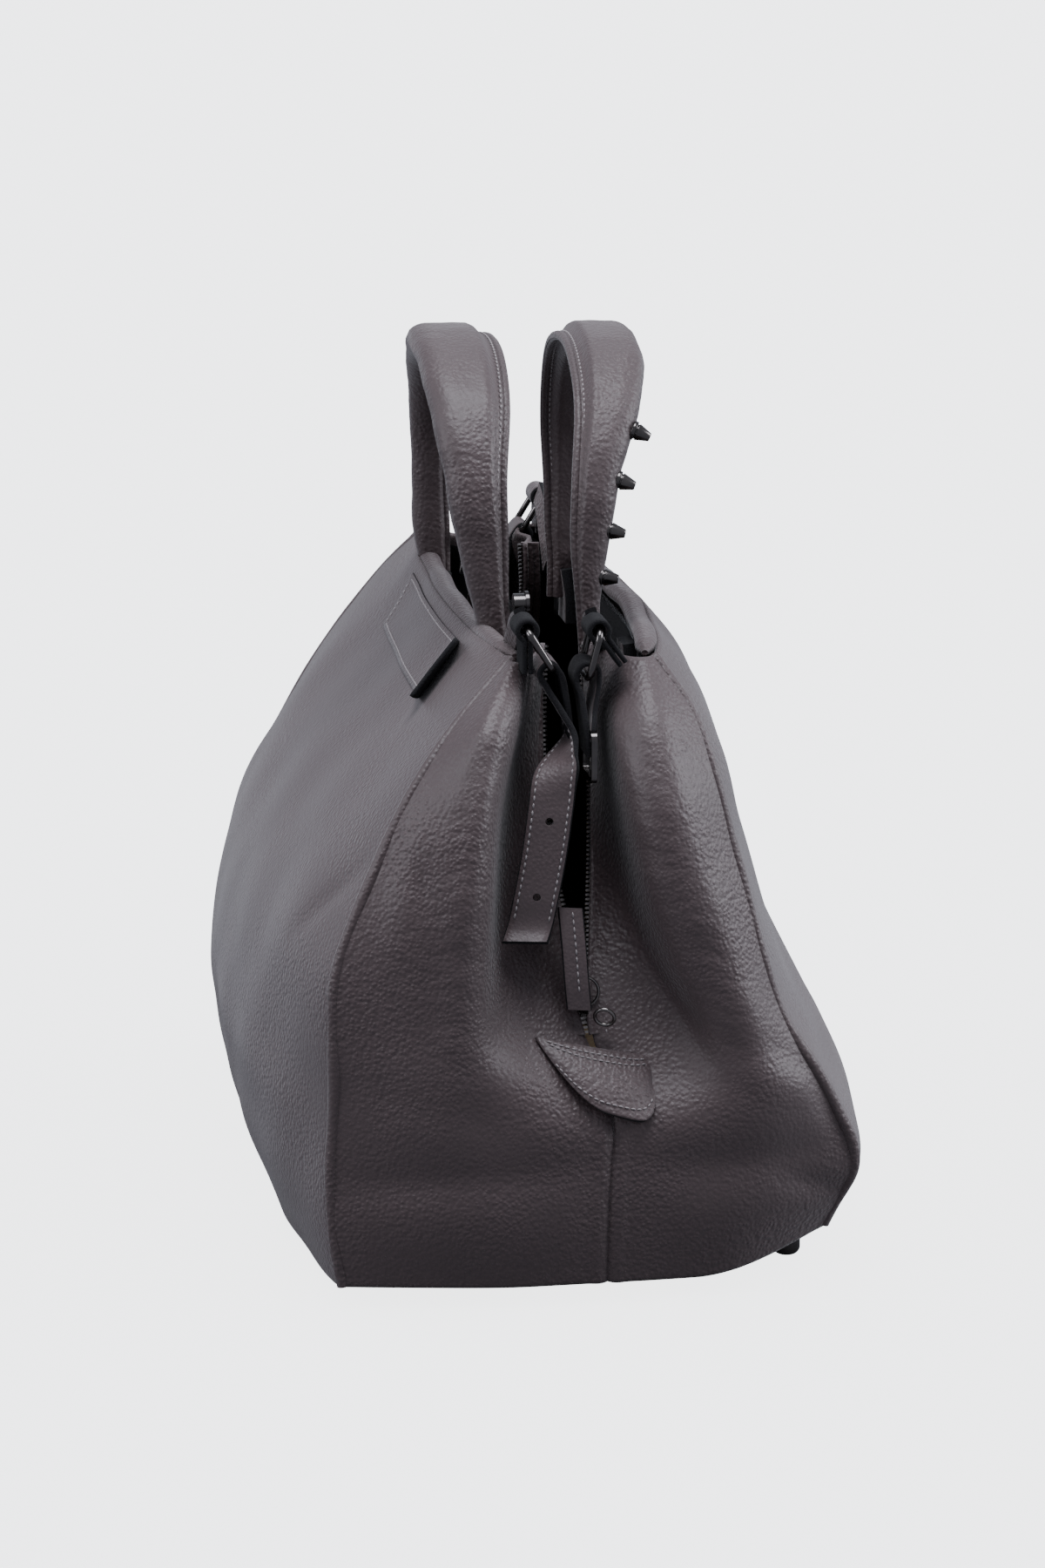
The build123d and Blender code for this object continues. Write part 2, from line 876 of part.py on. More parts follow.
with BuildPart() as end_teeth:
    for sy in (-1, 1):
        row = arc_bar(
            strip_radius, valley_shift + sy * (slot_half + teeth_width / 2),
            teeth_height, teeth_width, low_angle, top_angle - low_angle,
        )
        add(row.part)
for end_name, sx in ends.items():
    finish(turned(end_teeth, sx), f"zip_teeth_{end_name}")

# Half-disc tab that closes the zip's lower end and stands on the lip of the fold
tab_top_z = strip_bottom - tab_below_zip
tab_top_x = valley_at(tab_top_z) + tab_standoff
tab_low_z = tab_top_z - tab_drop
tab_low_x = valley_at(tab_low_z) + tab_leather
tab_up = Vector(tab_low_x - tab_top_x, 0, tab_drop).normalized()
tab_plane = Plane(
    origin=(-tab_top_x, valley_shift, tab_top_z), x_dir=(0, 1, 0),
    z_dir=Vector(0, 1, 0).cross(tab_up),
)
tab_reach = math.hypot(tab_low_x - tab_top_x, tab_drop)
with BuildPart() as zip_tab:
    with BuildSketch(tab_plane):
        with BuildLine():
            ThreePointArc((-tab_width / 2, 0), (0, -tab_reach), (tab_width / 2, 0))
            Line((tab_width / 2, 0), (-tab_width / 2, 0))
        make_face()
    extrude(amount=-tab_leather)
for end_name, sx in ends.items():
    finish(turned(zip_tab, sx), f"zip_tab_{end_name}")

# Slider: two plates and a web in the slot, all turned about the arc's axis
slider_angle = math.degrees(slider_length / strip_radius)
slider_start = low_angle + slider_rise
plate_offset = teeth_height / 2 + slider_clearance + slider_plate / 2
web = slot_half - slider_clearance * 2
bridge_angle = math.radians(slider_start + slider_angle / 2)
bridge_radius = strip_radius - plate_offset - slider_plate / 2
bridge_out = Vector(-math.cos(bridge_angle), 0, -math.sin(bridge_angle))
bridge_foot = Vector(arc_x, valley_shift, arc_z) - bridge_out * bridge_radius
bridge_plane = Plane(
    origin=bridge_foot, x_dir=(-math.sin(bridge_angle), 0, math.cos(bridge_angle)),
    z_dir=(0, -1, 0),
)
bridge_eye = bridge_foot + bridge_out * ((bridge_height - bridge_wall) / 2)
ring_plane = Plane(
    origin=bridge_eye + Vector(0, 0, pull_ring_radius), x_dir=(0, 1, 0), z_dir=(1, 0, 0)
)
with BuildPart() as zip_slider:
    with BuildSketch(arc_plane(slider_start)):
        for sign in (-1, 1):
            with Locations((strip_radius + sign * plate_offset, valley_shift)):
                Rectangle(slider_plate, 2 * slider_half_width)
        with Locations((strip_radius, valley_shift)):
            Rectangle(2 * plate_offset, 2 * web)
    revolve(axis=arc_axis, revolution_arc=slider_angle)
    with BuildSketch(bridge_plane):
        Rectangle(bridge_length, bridge_height, align=(Align.CENTER, Align.MIN))
        Rectangle(
            bridge_length - 2 * bridge_wall, bridge_height - bridge_wall,
            align=(Align.CENTER, Align.MIN), mode=Mode.SUBTRACT,
        )
    extrude(amount=bridge_wall, both=True)
finish(zip_slider, "zip_slider")

with BuildPart(ring_plane) as zip_pull_ring:
    Torus(pull_ring_radius, pull_wire / 2)
finish(zip_pull_ring, "zip_pull_ring")

with BuildPart() as zip_puller:
    with BuildSketch(Plane.YZ.offset(bridge_eye.X)):
        with Locations((valley_shift, bridge_eye.Z + 2 * pull_ring_radius - pull_wire * 1.5)):
            Rectangle(puller_width, puller_length, align=(Align.CENTER, Align.MIN))
    extrude(amount=puller_leather / 2, both=True)
    with Locations(ring_plane):
        Torus(pull_ring_radius, pull_wire / 2 + slider_clearance, mode=Mode.SUBTRACT)
finish(zip_puller, "zip_puller")


# --- Handle rivets and back tab ----------------------------------------------------------

rivet_z = hinge_z + rivet_above_hinge
with BuildPart() as handle_rivets:
    for sx in (-1, 1):
        face = Plane(
            origin=(sx * handle_half_length, handle_root_y - handle_root_width / 2, rivet_z),
            z_dir=(0, -1, 0),
        )
        with BuildSketch(face):
            Circle(rivet_radius)
        extrude(amount=rivet_length)
        with BuildSketch(face.offset(rivet_length)):
            Circle(rivet_flange_radius)
        extrude(amount=rivet_flange)
finish(handle_rivets, "handle_rivets")

patch_top = shell_heights()[-2]
with BuildPart() as back_tab:
    for height in (patch_top - patch_height, patch_top):
        inner, inner_middle = panel_ends(height, -sewn_gap)
        outer, outer_middle = panel_ends(height, -sewn_gap - patch_leather)
        with BuildSketch(Plane.XY.offset(height)):
            with BuildLine():
                ThreePointArc((-outer[0], outer[1]), (0, outer_middle), (outer[0], outer[1]))
                Line((outer[0], outer[1]), (inner[0], inner[1]))
                ThreePointArc((inner[0], inner[1]), (0, inner_middle), (-inner[0], inner[1]))
                Line((-inner[0], inner[1]), (-outer[0], outer[1]))
            make_face()
            with Locations((patch_middle_x, 0)):
                Rectangle(patch_length, 2 * base_width, mode=Mode.INTERSECT)
    loft(ruled=True)
finish(back_tab, "back_tab")
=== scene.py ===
import bpy
import json
import math
import mathutils
import numpy as np
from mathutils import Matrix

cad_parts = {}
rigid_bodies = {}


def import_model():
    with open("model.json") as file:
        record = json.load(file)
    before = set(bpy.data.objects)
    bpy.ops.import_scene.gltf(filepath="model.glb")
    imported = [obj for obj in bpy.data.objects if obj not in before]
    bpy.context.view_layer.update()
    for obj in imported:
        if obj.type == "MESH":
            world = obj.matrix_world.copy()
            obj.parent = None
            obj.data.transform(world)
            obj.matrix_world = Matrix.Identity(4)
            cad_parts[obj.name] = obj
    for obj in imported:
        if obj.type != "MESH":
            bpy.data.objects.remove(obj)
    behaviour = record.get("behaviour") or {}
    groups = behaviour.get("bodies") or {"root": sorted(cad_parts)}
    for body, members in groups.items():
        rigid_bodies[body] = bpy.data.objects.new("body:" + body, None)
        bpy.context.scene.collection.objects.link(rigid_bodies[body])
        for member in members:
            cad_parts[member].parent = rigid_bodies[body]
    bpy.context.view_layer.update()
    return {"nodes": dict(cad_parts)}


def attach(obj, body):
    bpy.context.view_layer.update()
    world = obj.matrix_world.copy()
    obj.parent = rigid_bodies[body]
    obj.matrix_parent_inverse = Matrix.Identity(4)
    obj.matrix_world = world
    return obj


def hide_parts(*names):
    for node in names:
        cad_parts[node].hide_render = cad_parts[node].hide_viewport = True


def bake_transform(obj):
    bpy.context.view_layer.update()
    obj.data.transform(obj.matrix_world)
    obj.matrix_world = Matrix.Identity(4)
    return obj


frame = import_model()
bpy.ops.object.select_all(action="DESELECT")


# --- Camera, floor and light ----------------------------------------------------------------
# The bag stands on a plain pale studio floor and is seen from its narrow end, a little above.
# Soft boxes overhead and at both sides give the leather its broad, dull highlights.

def hex_colour(text):
    """Linear colour of an sRGB hex value."""
    parts = [int(text[i:i + 2], 16) / 255 for i in (0, 2, 4)]
    linear = [c / 12.92 if c <= 0.04045 else ((c + 0.055) / 1.055) ** 2.4 for c in parts]
    return (*linear, 1.0)


def add_node(material, kind, sockets, **settings):
    """Adds a node. Each socket gets a value, or a link from another node's output."""
    made = material.node_tree.nodes.new(kind)
    for key, value in settings.items():
        setattr(made, key, value)
    for key, value in sockets.items():
        if isinstance(value, bpy.types.NodeSocket):
            material.node_tree.links.new(value, made.inputs[key])
        else:
            made.inputs[key].default_value = value
    return made


def new_material(name):
    """Empty material with its shader, ready for the nodes that feed it."""
    material = bpy.data.materials.new(name)
    material.use_nodes = True
    return material, material.node_tree.nodes["Principled BSDF"]


bpy.ops.object.camera_add(
    location=(-1.9467, 0.2860, 0.640), rotation=(math.radians(76.6835), 0, math.radians(-98.232))
)
camera = bpy.context.object
camera.data.lens = 102.0
camera.data.sensor_fit = "VERTICAL"
camera.data.sensor_height = 36.0
camera.data.clip_end = 100.0
bpy.context.scene.camera = camera

bpy.ops.mesh.primitive_plane_add(size=60.0, location=(0, 0, 0))
floor = bpy.context.object
floor.name = "studio_floor"
matt_paper, shader = new_material("matt_studio_paper")
shader.inputs["Base Color"].default_value = hex_colour("EAEBED")
shader.inputs["Roughness"].default_value = 0.95
shader.inputs["Specular IOR Level"].default_value = 0.1
shader.inputs["Emission Color"].default_value = hex_colour("EAEBED")
shader.inputs["Emission Strength"].default_value = 4.0
floor.data.materials.append(matt_paper)

world = bpy.data.worlds.new("studio_air")
world.use_nodes = True
world.node_tree.nodes["Background"].inputs["Color"].default_value = hex_colour("E6EBF8")
world.node_tree.nodes["Background"].inputs["Strength"].default_value = 0.74
bpy.context.scene.world = world


lit_by_boxes = bpy.data.collections.new("lit_by_soft_boxes")
lit_by_floor = bpy.data.collections.new("lit_by_floor")
lit_by_floor.objects.link(floor)
floor.light_linking.receiver_collection = lit_by_floor


def soft_box(name, place, target, size, power):
    """Square area light that faces a point. It lights the bag and leaves the floor alone."""
    bpy.ops.object.light_add(type="AREA", location=place)
    lamp = bpy.context.object
    lamp.name = name
    lamp.data.shape = "SQUARE"
    lamp.data.size = size
    lamp.data.energy = power
    lamp.data.color = (0.90, 0.93, 1.0)
    lamp.light_linking.receiver_collection = lit_by_boxes
    away = [a - b for a, b in zip(place, target)]
    lamp.rotation_euler = (
        math.atan2(math.hypot(away[0], away[1]), away[2]), 0, math.atan2(away[0], -away[1])
    )


soft_box("box_overhead", (-0.5, 0.1, 3.2), (0, 0, 0.2), 1.8, 185)
soft_box("box_back_side", (-0.6, 2.8, 1.5), (0, 0, 0.2), 1.5, 66)
soft_box("box_front_side", (-0.4, -2.8, 1.5), (0, 0, 0.2), 1.5, 125)


def mottled(name, scale, detail, dark, light, gloss=None):
    """Material whose colour drifts with noise, and its roughness too where a range is given."""
    material, shader = new_material(name)
    links = material.node_tree.links
    place = add_node(material, "ShaderNodeTexCoord", {})
    noise = add_node(material, "ShaderNodeTexNoise", {
        "Vector": place.outputs["Object"], "Scale": scale, "Detail": detail,
    })
    tone = add_node(material, "ShaderNodeMix", {
        "Factor": noise.outputs["Fac"], "A": hex_colour(dark), "B": hex_colour(light),
    }, data_type="RGBA")
    links.new(tone.outputs["Result"], shader.inputs["Base Color"])
    if gloss:
        dull = add_node(material, "ShaderNodeMapRange", {
            "Value": noise.outputs["Fac"], "To Min": gloss[0], "To Max": gloss[1],
        })
        links.new(dull.outputs["Result"], shader.inputs["Roughness"])
    return material, shader, noise


# --- Leather --------------------------------------------------------------------------------
# Drum-milled calf, dark taupe, dyed through: soft round pebbles 1 to 2 mm wide, larger and
# deeper where the hide is slack. Its cut edges show the raw blue-black flesh side.

def milled_leather(name, colour, pebble, depth, roughness=0.50):
    """Pebbled leather. Pebble and depth are in millimetres."""
    leather, shader = new_material(name)
    place = add_node(leather, "ShaderNodeTexCoord", {})
    drift = add_node(leather, "ShaderNodeTexNoise", {
        "Vector": place.outputs["Object"], "Scale": 160.0, "Detail": 2.0,
    })
    warp = add_node(leather, "ShaderNodeMix", {
        "Factor": 0.0009, "A": place.outputs["Object"], "B": drift.outputs["Color"],
    }, data_type="VECTOR")
    pebbles = add_node(leather, "ShaderNodeTexVoronoi", {
        "Vector": warp.outputs["Result"], "Scale": 1000.0 / pebble, "Randomness": 1.0,
    }, feature="SMOOTH_F1")
    pores = add_node(leather, "ShaderNodeTexNoise", {
        "Vector": place.outputs["Object"], "Scale": 1900.0, "Detail": 3.0,
    })
    slack = add_node(leather, "ShaderNodeTexNoise", {
        "Vector": place.outputs["Object"], "Scale": 26.0, "Detail": 3.0,
    })
    slack_range = add_node(leather, "ShaderNodeMapRange", {
        "Value": slack.outputs["Fac"], "From Min": 0.35, "From Max": 0.65,
        "To Min": 0.35, "To Max": 1.0,
    })
    dome = add_node(leather, "ShaderNodeMapRange", {
        "Value": pebbles.outputs["Distance"], "From Min": 0.05, "From Max": 0.75,
        "To Min": 1.0, "To Max": 0.0,
    })
    grain = add_node(leather, "ShaderNodeMath", {
        0: dome.outputs["Result"], 1: slack_range.outputs["Result"],
    }, operation="MULTIPLY")
    height = add_node(leather, "ShaderNodeMath", {
        0: pores.outputs["Fac"], 1: 0.22, 2: grain.outputs[0],
    }, operation="MULTIPLY_ADD")
    bump = add_node(leather, "ShaderNodeBump", {
        "Strength": 1.0, "Distance": depth * 0.001, "Height": height.outputs[0],
    })
    wear = add_node(leather, "ShaderNodeTexNoise", {
        "Vector": place.outputs["Object"], "Scale": 9.0, "Detail": 4.0,
    })
    tone = add_node(leather, "ShaderNodeMix", {
        "Factor": wear.outputs["Fac"],
        "A": [c * 0.84 for c in hex_colour(colour)[:3]] + [1.0],
        "B": [c * 1.16 for c in hex_colour(colour)[:3]] + [1.0],
    }, data_type="RGBA")
    # Painted shade: the base colour is multiplied down to 0.80 in the hollows between the pebbles
    # and up to 1.04 on their tops, following the same height that drives the bump.
    pebble_hollow_shade = add_node(leather, "ShaderNodeMapRange", {
        "Value": grain.outputs[0], "To Min": 0.80, "To Max": 1.04,
    })
    shade = add_node(leather, "ShaderNodeMix", {
        "Factor": 1.0, "A": tone.outputs["Result"], "B": pebble_hollow_shade.outputs["Result"],
    }, data_type="RGBA", blend_type="MULTIPLY")
    gloss = add_node(leather, "ShaderNodeMapRange", {
        "Value": wear.outputs["Fac"], "To Min": roughness - 0.07, "To Max": roughness + 0.07,
    })
    links = leather.node_tree.links
    links.new(shade.outputs["Result"], shader.inputs["Base Color"])
    links.new(gloss.outputs["Result"], shader.inputs["Roughness"])
    links.new(bump.outputs["Normal"], shader.inputs["Normal"])
    shader.inputs["IOR"].default_value = 1.5
    shader.inputs["Specular IOR Level"].default_value = 0.36
    shader.inputs["Sheen Weight"].default_value = 0.12
    shader.inputs["Sheen Roughness"].default_value = 0.5
    return leather


body_leather = milled_leather("calf_milled_taupe", "382C2D", 1.6, 0.50)
handle_leather = milled_leather("calf_milled_handles", "372B2C", 1.7, 0.45)
strap_leather = milled_leather("calf_pressed_straps", "413536", 1.3, 0.22)

flesh_side, shader, nap = mottled("calf_raw_flesh_edge", 1500.0, 4.0, "0A0A0B", "1D1C1E")
nap_bump = add_node(flesh_side, "ShaderNodeBump", {
    "Strength": 1.0, "Distance": 0.0004, "Height": nap.outputs["Fac"],
})
flesh_side.node_tree.links.new(nap_bump.outputs["Normal"], shader.inputs["Normal"])
shader.inputs["Roughness"].default_value = 0.95
shader.inputs["Specular IOR Level"].default_value = 0.1
shader.inputs["Sheen Weight"].default_value = 0.02


# --- Shell: shape of the bag ----------------------------------------------------------------
# The hide is cut as two long panels and a pair of half gussets for each end. The gussets fold
# inward between two soft lobes, and the whole bag slouches wider at the belly.

def through(stations, values, at):
    """Smooth curve through the values that are given at the stations."""
    stations = np.asarray(stations, float)
    values = np.asarray(values, float)
    at = np.clip(np.asarray(at, float), stations[0], stations[-1])
    slope = np.gradient(values, stations, axis=0)
    k = np.clip(np.searchsorted(stations, at, side="right") - 1, 0, len(stations) - 2)
    step = stations[k + 1] - stations[k]
    t = (at - stations[k]) / step
    t = t.reshape(t.shape + (1,) * (values.ndim - 1))
    step = step.reshape(t.shape)
    return (
        (2 * t**3 - 3 * t**2 + 1) * values[k] + (t**3 - 2 * t**2 + t) * step * slope[k]
        + (3 * t**2 - 2 * t**3) * values[k + 1] + (t**3 - t**2) * step * slope[k + 1]
    )


def normals_of(grid):
    """Unit normals of a grid of points."""
    down = np.gradient(grid, axis=0)
    along = np.gradient(grid, axis=1)
    cross = np.cross(along, down)
    return cross / np.maximum(np.linalg.norm(cross, axis=2, keepdims=True), 1e-9)


# Heights at which the hide's outline is known, and there, for each end: corner seam, crest of
# the lobe, inner wall of the fold, and edge at the middle. Each is (distance from the bag's
# middle along its length, place across it).
heights = [10, 40, 62, 81, 97, 115, 145, 185, 222, 245, 264]
back_half = [
    [(199, 108), (207, 64), (210, 40), (210, 18), (210, -1)],
    [(201, 113), (212, 70), (215, 44), (215, 20), (214, -1)],
    [(201, 114), (211, 72), (214, 46), (215, 22), (214, -2)],
    [(201, 113), (212, 74), (214, 48), (215, 24), (211, -2)],
    [(201, 112), (212, 76), (214, 52), (209, 28), (198, 1)],
    [(201, 112), (211, 76), (213, 55), (196, 35), (188, 8)],
    [(200, 110), (210, 76), (211, 55), (184, 40), (171, 11)],
    [(194, 94), (208, 66), (206, 50), (168, 37), (145, 16)],
    [(184, 73), (200, 56), (196, 43), (155, 31), (128, 16)],
    [(170, 54), (187, 46), (180, 35), (146, 24), (120, 15)],
    [(152, 31), (160, 31), (152, 25), (137, 19), (118, 14)],
]
front_half = [
    [(192, -96), (206, -60), (209, -40), (210, -20), (210, -1)],
    [(199, -108), (212, -66), (215, -42), (215, -21), (214, -1)],
    [(201, -106), (212, -70), (214, -45), (215, -22), (214, -2)],
    [(202, -98), (214, -70), (215, -49), (213, -26), (209, -2)],
    [(202, -89), (214, -68), (213, -52), (203, -32), (197, -1)],
    [(200, -78), (213, -62), (210, -47), (193, -32), (188, 3)],
    [(197, -67), (211, -51), (207, -33), (180, -22), (170, 0)],
    [(190, -57), (208, -37), (202, -20), (166, -14), (144, -5)],
    [(182, -49), (200, -29), (192, -13), (155, -10), (127, -7)],
    [(168, -41), (184, -25), (173, -12), (144, -8), (119, -6)],
    [(152, -29), (158, -23), (150, -16), (136, -11), (118, -6)],
]
belly_back = [126, 136, 139, 142, 141, 138, 129, 106, 74, 55, 42]
belly_front = [-110, -126, -125, -119, -110, -101, -88, -76, -68, -58, -42]

rows = 150
hide_thickness = 2.0
lining_depth = 2.8
heights_down = np.linspace(heights[0], heights[-1], rows)


def gusset_points(half, columns):
    """Grid of one half gusset at the camera's end, from its corner seam to the middle."""
    table = through(heights, np.array(half, float), heights_down)
    across = np.linspace(0, 4, columns)
    grid = np.zeros((rows, columns, 3))
    for r in range(rows):
        outline = through([0, 1, 2, 3, 4], table[r], across)
        grid[r, :, 0] = -outline[:, 0]
        grid[r, :, 1] = outline[:, 1]
        grid[r, :, 2] = heights_down[r]
    return grid


def far_half(half, other, slump):
    """The far end's half gusset: zip edge of the other half, turned, and the corner let in."""
    turned = []
    for row, opposite, share in zip(half, other, slump):
        turned.append([(row[0][0], row[0][1] * share), (row[1][0], row[1][1] * share), row[2],
                       (opposite[3][0], -opposite[3][1]), (opposite[4][0], -opposite[4][1])])
    return turned


def panel_points(half, far, belly, columns):
    """Grid of a long panel, from the camera's end to the far end."""
    near_corner = through(heights, np.array(half, float)[:, 0], heights_down)
    far_corner = through(heights, np.array(far, float)[:, 0], heights_down)
    middle = through(heights, belly, heights_down)
    share = np.linspace(-1, 1, columns)
    grid = np.zeros((rows, columns, 3))
    for r in range(rows):
        x = np.where(share < 0, share * near_corner[r, 0], share * far_corner[r, 0])
        chord = near_corner[r, 1] + (far_corner[r, 1] - near_corner[r, 1]) * (share + 1) / 2
        mean = (near_corner[r, 1] + far_corner[r, 1]) / 2
        bow = (1 - np.abs(share) ** 2.4) ** 0.9
        grid[r, :, 0] = x
        grid[r, :, 1] = chord + (middle[r] - mean) * bow
        grid[r, :, 2] = heights_down[r]
    return grid


def crease(grid, normals, start, end, width, depth):
    """Presses a fold into the hide along a line, or raises a ridge where depth is below 0."""
    start = np.array(start, float)
    run = np.array(end, float) - start
    t = np.clip(((grid - start) @ run) / (run @ run), 0, 1)
    away = np.linalg.norm(grid - (start + t[..., None] * run), axis=2)
    fade = np.sin(np.clip(t, 0.04, 0.96) * math.pi) ** 0.5
    grid -= normals * (depth * fade * np.exp(-((away / width) ** 2)))[..., None]


def ripple(grid, seed, size, amount):
    """Low uneven waves of slack hide, from a few seeded sine waves."""
    dice = np.random.default_rng(seed)
    total = np.zeros(grid.shape[:2])
    for k in range(9):
        direction = dice.normal(size=3)
        direction /= np.linalg.norm(direction)
        total += np.sin(grid @ direction * (2 * math.pi / (size * dice.uniform(0.6, 1.7)))
                        + dice.uniform(0, 6.28))
    return total / 3 * amount


def lift_corner(grid):
    """The lower front corner at the camera's end isn't filled out and stands off the floor."""
    toward = np.clip((-grid[..., 1] - 40) / 68, 0, 1) ** 1.5
    near = np.clip((-grid[..., 0] - 125) / 70, 0, 1)
    low = np.clip(1 - (grid[..., 2] - 8) / 70, 0, 1) ** 1.3
    grid[..., 2] += 22 * toward * near * low


def pick(pieces):
    """Selects the pieces and makes the first one active."""
    bpy.ops.object.select_all(action="DESELECT")
    for one in pieces:
        one.select_set(True)
    bpy.context.view_layer.objects.active = pieces[0]


def mesh_piece(name, points, faces, materials):
    """Object made of faces between points in millimetres, with its origin at the bag's."""
    mesh = bpy.data.meshes.new(name)
    mesh.from_pydata((np.asarray(points).reshape(-1, 3) * 0.001).tolist(), [], faces)
    for one in (materials if isinstance(materials, list) else [materials]):
        mesh.materials.append(one)
    piece = bpy.data.objects.new(name, mesh)
    bpy.context.scene.collection.objects.link(piece)
    return piece


def shade_smooth(piece):
    """Smooth shading on every face."""
    piece.data.polygons.foreach_set("use_smooth", [True] * len(piece.data.polygons))


def leather_sheet(name, grid, material, thickness, flip=False):
    """Mesh of a grid of points in millimetres, with the hide's thickness behind it."""
    r, c = grid.shape[:2]
    faces = []
    for i in range(r - 1):
        for j in range(c - 1):
            quad = (i * c + j, i * c + j + 1, (i + 1) * c + j + 1, (i + 1) * c + j)
            faces.append(quad[::-1] if flip else quad)
    piece = mesh_piece(name, grid, faces, material)
    if thickness:
        pick([piece])
        wall = piece.modifiers.new("hide", "SOLIDIFY")
        wall.thickness = thickness * 0.001
        wall.offset = -1.0
        if len(piece.data.materials) > 1:
            wall.material_offset = 1
            wall.material_offset_rim = 1
        bpy.ops.object.modifier_apply(modifier="hide")
    shade_smooth(piece)
    return piece


far_back = far_half(back_half, front_half,
                    [1, 1, 1, 1, 1, 0.99, 0.96, 0.90, 0.86, 0.87, 1])
far_front = far_half(front_half, back_half, [1] * 11)
shell = {
    "panel_back": panel_points(back_half, far_back, belly_back, 170),
    "panel_front": panel_points(front_half, far_front, belly_front, 170),
    "gusset_near_back": gusset_points(back_half, 80),
    "gusset_near_front": gusset_points(front_half, 80),
    "gusset_far_back": gusset_points(far_back, 80) * (-1, 1, 1),
    "gusset_far_front": gusset_points(far_front, 80) * (-1, 1, 1),
}
outward = {
    "panel_back": (0, 1, 0), "panel_front": (0, -1, 0),
    "gusset_near_back": (-1, 0, 0), "gusset_near_front": (-1, 0, 0),
    "gusset_far_back": (1, 0, 0), "gusset_far_front": (1, 0, 0),
}
replaced = {
    "panel_back": "back_panel", "panel_front": "front_panel",
    "gusset_near_back": "gusset_left_back", "gusset_near_front": "gusset_left_front",
    "gusset_far_back": "gusset_right_back", "gusset_far_front": "gusset_right_front",
}
shell_normals = {}
for name, grid in shell.items():
    lift_corner(grid)
    normals = normals_of(grid)
    turned_in = (normals @ np.array(outward[name], float)).mean() < 0
    normals = -normals if turned_in else normals
    grid += normals * ripple(grid, 7, 90, 0.9)[..., None]
    if name.startswith("gusset"):
        columns = np.arange(grid.shape[1]) / (grid.shape[1] - 1)
        z = grid[..., 2]
        crest = np.exp(-((columns[None, :] - 0.34) / 0.16) ** 2)
        slack = crest * np.clip((z - 70) / 60, 0, 1) * np.clip((262 - z) / 20, 0, 1)
        pucker = np.sin(z / 1.15 + 2.2 * np.sin(grid[..., 1] / 5.0) + 1.7 * np.sin(z / 17.0))
        grid += normals * (slack * (0.10 * pucker + ripple(grid, 21, 18, 0.22)))[..., None]
        seam_gap = np.abs(grid[..., 1] - grid[:, -1:, 1])
        sewn = np.clip((90 - z) / 8, 0, 1)
        grid -= normals * (sewn * 1.5 * np.exp(-((seam_gap / 1.6) ** 2)))[..., None]
        grid += normals * (sewn * 0.5 * np.exp(-(((seam_gap - 4.5) / 2.2) ** 2)))[..., None]
    if name == "gusset_near_back":
        crease(grid, normals, (-206, 112, 54), (-212, 10, 60), 8.0, 1.4)
        crease(grid, normals, (-205, 100, 96), (-210, 42, 84), 10.0, 1.2)
        crease(grid, normals, (-206, 84, 200), (-204, 60, 150), 6.0, 1.5)
        crease(grid, normals, (-196, 72, 214), (-208, 88, 150), 7.0, -1.2)
    if name == "gusset_near_front":
        crease(grid, normals, (-212, -10, 60), (-206, -100, 62), 9.0, 1.2)
        crease(grid, normals, (-212, -56, 112), (-204, -86, 98), 7.0, 1.3)
        crease(grid, normals, (-205, -86, 96), (-203, -104, 62), 6.0, 1.4)
        crease(grid, normals, (-212, -62, 98), (-206, -92, 84), 8.0, -0.8)
        crease(grid, normals, (-210, -76, 52), (-200, -108, 40), 6.0, 1.8)
    if name == "panel_back":
        crease(grid, normals, (-190, 98, 190), (-150, 122, 150), 7.0, 1.6)
        crease(grid, normals, (150, 96, 196), (176, 104, 150), 7.0, 2.6)
        crease(grid, normals, (-88, 60, 256), (-104, 84, 226), 8.0, 2.0)
        crease(grid, normals, (88, 60, 256), (110, 84, 226), 8.0, 2.0)
    shell_normals[name] = normals
    hide = leather_sheet(name, grid, body_leather, hide_thickness, flip=not turned_in)
    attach(hide, "bag")
    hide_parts(replaced[name])

# --- Lining ---------------------------------------------------------------------------------
# Dark cotton twill, sewn in at the rim all the way round and hanging just inside the hide. The
# open zip shows only a dull dark hollow behind it.

twill, shader = new_material("cotton_twill_dark")
place = add_node(twill, "ShaderNodeTexCoord", {})
ribs = add_node(twill, "ShaderNodeTexWave", {
    "Vector": place.outputs["Object"], "Scale": 260.0, "Distortion": 0.6,
}, bands_direction="DIAGONAL")
rib_tone = add_node(twill, "ShaderNodeMix", {
    "Factor": ribs.outputs["Fac"], "A": hex_colour("0E0D0F"), "B": hex_colour("1D1B1E"),
}, data_type="RGBA")
twill.node_tree.links.new(rib_tone.outputs["Result"], shader.inputs["Base Color"])
shader.inputs["Roughness"].default_value = 0.9


def joined(name, pieces):
    """One piece made of several meshes."""
    pick(pieces)
    if len(pieces) > 1:
        bpy.ops.object.join()
    pieces[0].name = name
    pieces[0].data.name = name
    return pieces[0]


lining_parts = []
for name, grid in shell.items():
    inside = (grid - shell_normals[name] * lining_depth)[::3, ::3]
    lining_parts.append(leather_sheet("lining_" + name, inside, twill, 0.0))
lining = joined("lining_twill", lining_parts)
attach(lining, "bag")
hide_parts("lining")


# --- Base -----------------------------------------------------------------------------------
# Leather bottom over a stiff fibre board. The hide turns under all round and lies flat between
# the four metal feet, and at one corner it isn't filled out.

def bottom_ring(depth):
    """Lowest line of the shell all the way round, some way in from its outer face."""
    sides = []
    order = [("panel_back", 1), ("gusset_far_back", 1), ("gusset_far_front", -1),
             ("panel_front", -1), ("gusset_near_front", 1), ("gusset_near_back", -1)]
    for name, way in order:
        line = (shell[name] - shell_normals[name] * depth)[0, ::way]
        sides.append(line[:-1])
    return np.concatenate(sides)


